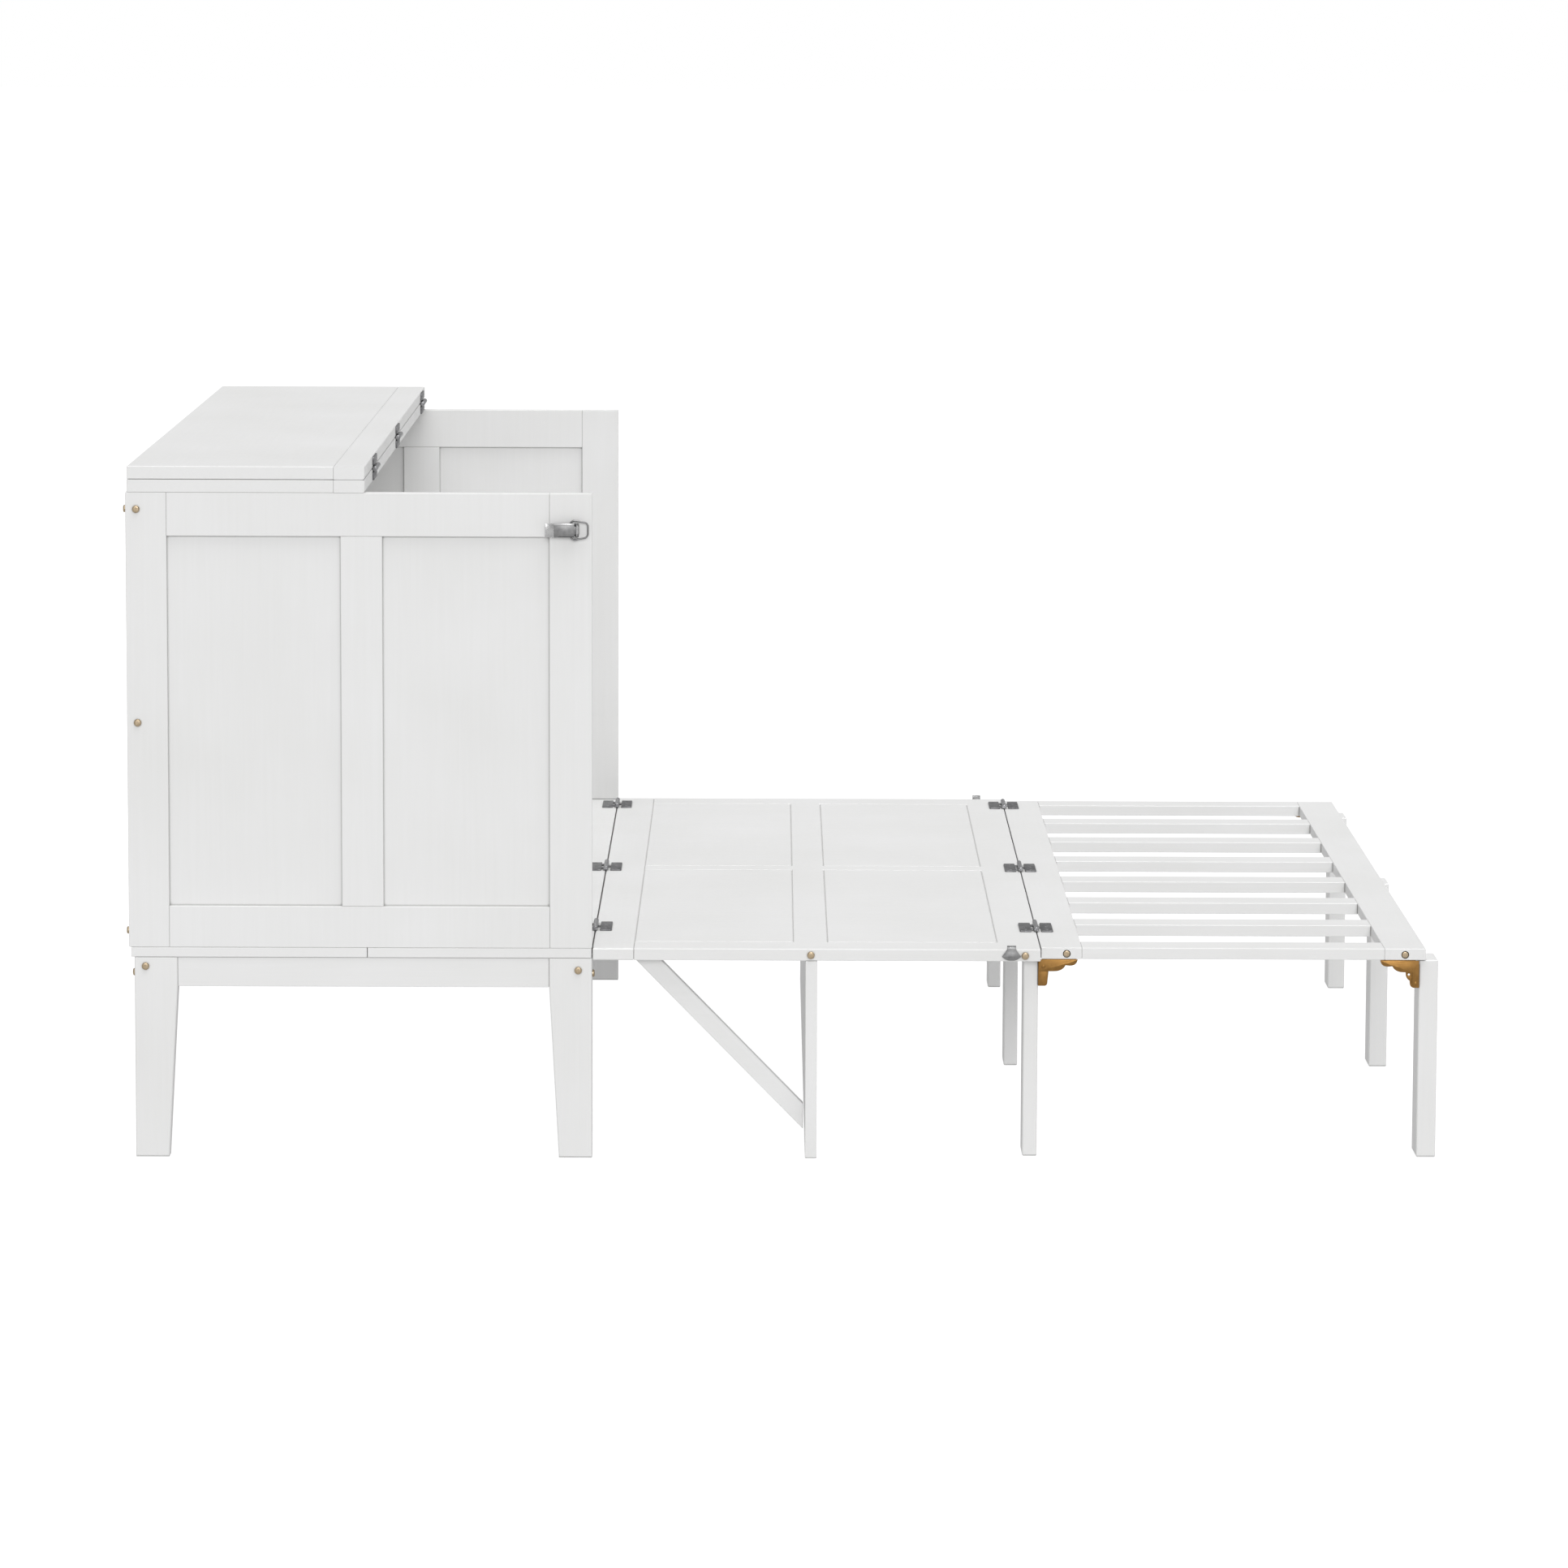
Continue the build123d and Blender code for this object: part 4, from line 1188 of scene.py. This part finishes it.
@dataclass
class DrawLatch:
    """A draw latch on each side frame, and the strike that its bail hooks over.

    X and Y are measured from the lever's pivot and Z from the latch's middle; the cabinet
    is on the +Y side of a near latch.

    Attributes:
        face: distance from the pivot to the side frame.
        sheet: thickness of the pressed steel.
        lever_half: half the width of the lever.
        skin: distance from the pivot to the lever's outer face.
        skin_end: where that face ends, from the pivot.
        tip: reach of the lifted tip.
        tab: length of the lifted tab.
        tab_lean: how far the tab leans out, in degrees.
        bail: X of the bail's rear bar, from the pivot.
        bail_front: X of its front bar.
        bail_half: half its width at the rear and at the front.
        bail_bend: radius of its corners.
        wire: radius of the wire.
        strike_neck: half the width of the strike's tab.
        strike_fan: half the width of its fan.
        strike_gap: air behind it, so that it clears the side frame when the panel is up.
    """

    face: float = 7.5
    sheet: float = 1.6
    lever_half: float = 11.0
    skin: float = 6.0
    skin_end: float = -3.4
    tip: float = -50.0
    tab: float = 14.1
    tab_lean: float = 12.0
    bail: float = -10.6
    bail_front: float = 17.8
    bail_half: Span = (16.6, 11.5)
    bail_bend: float = 7.0
    wire: float = 1.45
    strike_neck: float = 7.2
    strike_fan: float = 15.3
    strike_gap: float = 0.1

    def add_base(self, piece: Piece, place: Matrix) -> None:
        """Adds the base plate with its ears, pin and screws.

        Args:
            piece: the piece that it joins.
            place: where the latch is.
        """
        corners = [(-38.0, -9.0, 2.5), (3.4, -9.0, 2.5), (3.4, 9.0, 2.5), (-38.0, 9.0, 2.5)]
        upright = Matrix.Translation((0, self.face, 0)) @ Z_TO_MINUS_Y
        piece.add(plate_solid(corners, self.sheet, 0.3), place, upright)
        for low in (-8.6, 7.0):
            ear = plate_solid([(-3.2, -1.8, 2.6), (3.2, -1.8, 2.6), (3.2, self.face, 0.0),
                               (-3.2, self.face, 0.0)], self.sheet, 0.25)
            piece.add(ear, place, Matrix.Translation((0, 0, low)))
        reach = self.lever_half + 0.6
        pin = [(0.0, -reach), (1.2, -reach), (1.6, -reach + 0.4), (1.6, reach - 0.4),
               (1.2, reach), (0.0, reach)]
        # The pin and screws take the lighter zinc copy, the painted highlight of the lever.
        piece.add(turned_solid(pin), place, finish=1)
        for x in (-33.0, -24.0):
            spot = Matrix.Translation((x, self.face - self.sheet, 0)) @ Z_TO_MINUS_Y
            piece.add(wood_screw(2.4, 0.5), place, spot, 1)

    def add_lever(self, piece: Piece, place: Matrix) -> None:
        """Adds the lever: a channel with a lifted tab, a rim and a curled knuckle.

        Args:
            piece: the piece that it joins.
            place: where the latch is.
        """
        half, skin, tip = self.lever_half, self.skin, self.tip
        thick = 1.8
        body = box_solid((tip + 13.0, self.skin_end), (-skin, -skin + thick), (-half, half),
                         0.7)
        piece.add(body, place)
        # The rim takes the lighter zinc copy: a painted highlight along the lever's edge.
        rim = box_solid((tip + 13.5, self.skin_end - 0.4), (-skin - 0.3, -skin + 2.2),
                        (half - 2.6, half), 0.9)
        piece.add(rim, place, finish=1)
        # The tab takes the lighter zinc copy: a painted highlight where it leans out to the
        # light.
        tab = plate_solid([(0.0, -half, 0.0), (0.0, half, 0.0), (-self.tab, half, 2.2),
                           (-self.tab, -half, 2.2)], thick, 0.4)
        lean = Matrix.Rotation(math.radians(self.tab_lean), 4, "Z")
        inward = Matrix.Translation((0, thick, 0)) @ Z_TO_MINUS_Y
        foot = Matrix.Translation((tip + 14.0, -skin, 0))
        piece.add(tab, place, foot @ lean @ inward, 1)
        for low in (-half, half - self.sheet):
            wall = plate_solid([(tip + 20.0, -skin, 0.5), (self.skin_end + 1.0, -skin, 1.0),
                                (3.2, -1.6, 1.6), (3.2, 1.5, 2.0), (0.0, 3.2, 1.6),
                                (tip + 22.0, -1.2, 1.5)], self.sheet, 0.25)
            piece.add(wall, place, Matrix.Translation((0, 0, low)))
        # The curl takes the lighter zinc copy: a painted highlight on the knuckle.
        curl = ring_solid(1.7, 2.9, 13.2, 0.5, 24)
        piece.add(curl, place, Matrix.Translation((0, 0, -6.6)), 1)
        lap = box_solid((self.skin_end - 0.6, -1.2), (-skin + 0.7, -2.0), (-6.4, 6.4), 0.4)
        piece.add(lap, place)
        eye = ring_solid(self.wire + 0.15, 2.7, 13.2, 0.4, 20)
        piece.add(eye, place, Matrix.Translation((self.bail, 0, -6.6)))

    def add_bail(self, piece: Piece, place: Matrix) -> None:
        """Adds the wire bail.

        Args:
            piece: the piece that it joins.
            place: where the latch is.
        """
        rear, front = self.bail, self.bail_front
        wide, narrow = self.bail_half
        ring = bent_wire([(rear, -wide), (front, -narrow), (front, narrow), (rear, wide)],
                         self.bail_bend, self.wire)
        piece.add(ring, place)

    def add_strike(self, piece: Piece, place: Matrix) -> None:
        """Adds the strike: a fan on the panel's edge with a tab bent out above it.

        Args:
            piece: the piece that it joins; X = 0 is its middle, Y = 0 the panel's edge and
                Z = 0 the panel's top.
            place: where the strike is.
        """
        neck, fan = self.strike_neck, self.strike_fan
        right = [(neck, 6.8, 0.6), (neck, 0.5, 1.5), (neck + 2.2, -3.4, 1.6),
                 (fan, -11.2, 0.7), (fan * 0.72, -14.9, 1.6), (fan * 0.34, -17.5, 2.2)]
        left = [(-x, z, reach) for x, z, reach in reversed(right)]
        piece.add(plate_solid([*right, *left], self.sheet, 0.35), place, Z_TO_MINUS_Y)
        piece.add(box_solid((-neck, neck), (-4.0, -0.2), (4.6, 6.8), 0.5), place)
        # A thin band in the lighter bend zinc, standing just proud below the tab: a painted
        # highlight on the bend.
        bend_highlight_band = box_solid((-neck + 0.4, neck - 0.4), (-self.sheet - 0.35, -0.4), (0.6, 4.4),
                           0.3)
        piece.add(bend_highlight_band, place, finish=1)

    def build(self, zinc: Sequence[bpy.types.Material]) -> None:
        """Makes both latches and both strikes.

        Args:
            zinc: the dull finish, the lighter copy that paints highlights on the lever, pin
                and screws, and the lighter copy that paints the highlight on the strike's
                bend.
        """
        bases = Piece("latch_bases_pressed", *zinc[:2])
        strikes = Piece("latch_strikes_pressed", zinc[0], zinc[2])
        edge = {solid.middle.y > 0: solid for solid in islands("latch_strikes")}
        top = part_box("front_panel_frame")[1].z
        for side, flip in (("near", Matrix.Identity(4)), ("far", MIRROR_Y)):
            pivot = joint_place(f"lever_{side}_turn")
            place = at(pivot, flip)
            self.add_base(bases, place)
            lever = Piece(f"latch_lever_{side}_pressed", *zinc[:2])
            self.add_lever(lever, place)
            lever.deliver(f"lever_{side}", "latch_steel", f"latch_lever_{side}")
            bail = Piece(f"latch_bail_{side}_bent", zinc[0])
            self.add_bail(bail, place)
            bail.deliver(f"bail_{side}", "latch_steel", f"latch_bail_{side}")
            solid = edge[side == "far"]
            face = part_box("front_panel_frame")[0 if side == "near" else 1].y
            clear = math.copysign(self.strike_gap * MM, face)
            self.add_strike(strikes, at((solid.middle.x, face + clear, top), flip))
        bases.deliver("cabinet", "latch_steel", "latch_bases")
        strikes.deliver("front_panel", "latch_steel", "latch_strikes")


# ---- studio -------------------------------------------------------------------------


@dataclass(frozen=True)
class Lamp:
    """A distant soft lamp.

    Attributes:
        name: its name.
        strength: its strength.
        source: the direction that it shines from.
        softness: how wide it looks, in degrees.
    """

    name: str
    strength: float
    source: Corner
    softness: float


@dataclass
class Studio:
    """A white floor that runs out of sight, a pale sky, soft lamps and the camera.

    Attributes:
        floor_size: side of the floor, in metres.
        tooth_mm: size of the paper's tooth.
        sky: strength of the even light from all round.
        floor_glow: light that the lit floor throws back.
        floor_seen: how bright the lit floor looks to the camera.
        lamps: the soft lamps.
        camera_place: where the camera stands.
        pitch: how far it looks down, in radians.
        yaw: how far it turns towards +X.
        roll: how far it rolls.
        lens: focal length, in millimetres.
        sensor: width of the sensor, in millimetres.
        shift: shift of the lens, as a share of the picture.
    """

    floor_size: float = 120.0
    tooth_mm: float = 2.5
    sky: float = 0.5
    floor_glow: float = 0.5
    floor_seen: float = 0.95
    lamps: Sequence[Lamp] = (Lamp("front_lamp", 1.04, (0.05, -0.95, 0.32), 24.0),
                             Lamp("top_lamp", 1.8, (0.15, -0.12, 1.0), 50.0))
    camera_place: Corner = (-0.02367, -9.87952, 1.97185)
    pitch: float = 0.11067
    yaw: float = 0.00242
    roll: float = 0.00366
    lens: float = 131.679
    sensor: float = 36.0
    shift: float = -0.14

    def build(self) -> None:
        """Sets up the whole studio."""
        self.build_floor()
        self.build_light()
        self.build_camera()

    def build_floor(self) -> None:
        """Lays the floor, a lit white paper sweep with a faint tooth."""
        material, tree, shader, coords = new_material("white_paper_floor")
        tooth = noise(tree, coords, self.tooth_mm, 2.0)
        bump = add_node(tree, "ShaderNodeBump", {"Strength": 0.1, "Distance": 0.1 * MM},
                        {"Height": tooth})
        tree.links.new(bump.outputs["Normal"], shader.inputs["Normal"])
        shader.inputs["Base Color"].default_value = linear("6c6c6c")
        shader.inputs["Roughness"].default_value = 0.9
        shader.inputs["Emission Color"].default_value = linear("ffffff")
        rays = add_node(tree, "ShaderNodeLightPath", {}, {})
        glow = ranged(tree, rays.outputs["Is Camera Ray"], (0.0, 1.0),
                      (self.floor_glow, self.floor_seen))
        tree.links.new(glow, shader.inputs["Emission Strength"])
        work = bmesh.new()
        bmesh.ops.create_grid(work, x_segments=1, y_segments=1, size=self.floor_size / 2)
        mesh = bpy.data.meshes.new("floor")
        work.to_mesh(mesh)
        work.free()
        mesh.materials.append(material)
        floor = bpy.data.objects.new("floor", mesh)
        bpy.context.scene.collection.objects.link(floor)

    def build_light(self) -> None:
        """Lights the room evenly, with a soft lamp in front and another above."""
        world = bpy.data.worlds.new("pale_room")
        world.use_nodes = True
        tree = world.node_tree
        tree.nodes.clear()
        rays = add_node(tree, "ShaderNodeLightPath", {}, {})
        strength = ranged(tree, rays.outputs["Is Camera Ray"], (0.0, 1.0), (self.sky, 1.0))
        sky = add_node(tree, "ShaderNodeBackground", {"Color": linear("ffffff")},
                       {"Strength": strength})
        add_node(tree, "ShaderNodeOutputWorld", {}, {"Surface": sky.outputs[0]})
        bpy.context.scene.world = world
        for lamp in self.lamps:
            data = bpy.data.lights.new(lamp.name, "SUN")
            data.energy = lamp.strength
            data.angle = math.radians(lamp.softness)
            hung = bpy.data.objects.new(lamp.name, data)
            hung.rotation_euler = Vector(lamp.source).to_track_quat("Z", "Y").to_euler()
            bpy.context.scene.collection.objects.link(hung)

    def build_camera(self) -> None:
        """Stands the camera up and sets the plain view transform."""
        data = bpy.data.cameras.new("camera")
        data.lens = self.lens
        data.sensor_width = self.sensor
        data.shift_y = self.shift
        data.clip_end = 200.0
        camera = bpy.data.objects.new("camera", data)
        turn = (Matrix.Rotation(-self.yaw, 4, "Z")
                @ Matrix.Rotation(math.pi / 2 - self.pitch, 4, "X")
                @ Matrix.Rotation(self.roll, 4, "Z"))
        camera.matrix_world = Matrix.Translation(self.camera_place) @ turn
        bpy.context.scene.collection.objects.link(camera)
        bpy.context.scene.camera = camera
        bpy.context.scene.view_settings.view_transform = "Standard"
        bpy.context.scene.view_settings.look = "None"


def main() -> None:
    """Builds the studio, then every sub-assembly in order."""
    logging.basicConfig(level=logging.INFO, format="%(name)s: %(message)s")
    Studio().build()
    PaintedBoards().build()
    steel = (BLUED_STEEL.build(), STEEL_HIGHLIGHT.build())
    zinc = (ZINC_GREY.build(), ZINC_HIGHLIGHT.build(), ZINC_BEND_HIGHLIGHT.build())
    ButtonBolts().build(ANTIQUE_BRASS.build())
    level = Matrix.Identity(4)
    standing = Matrix.Rotation(math.radians(90.0), 4, "Y")
    SurfaceHinge((8.0, 27.0)).build("base_hinges", "panel_fold", level, -1.0, steel)
    SurfaceHinge((8.0, 27.0)).build("foot_hinges", "foot_fold", level, -1.0, steel)
    SurfaceHinge((6.0, 19.0)).build("lid_hinges", "lid_fold", standing, 1.0, steel)
    ButtHinge().build(steel)
    LegBrackets().build(CHROMATE.build())
    DrawLatch().build(zinc)


if __name__ == "__main__":
    main()
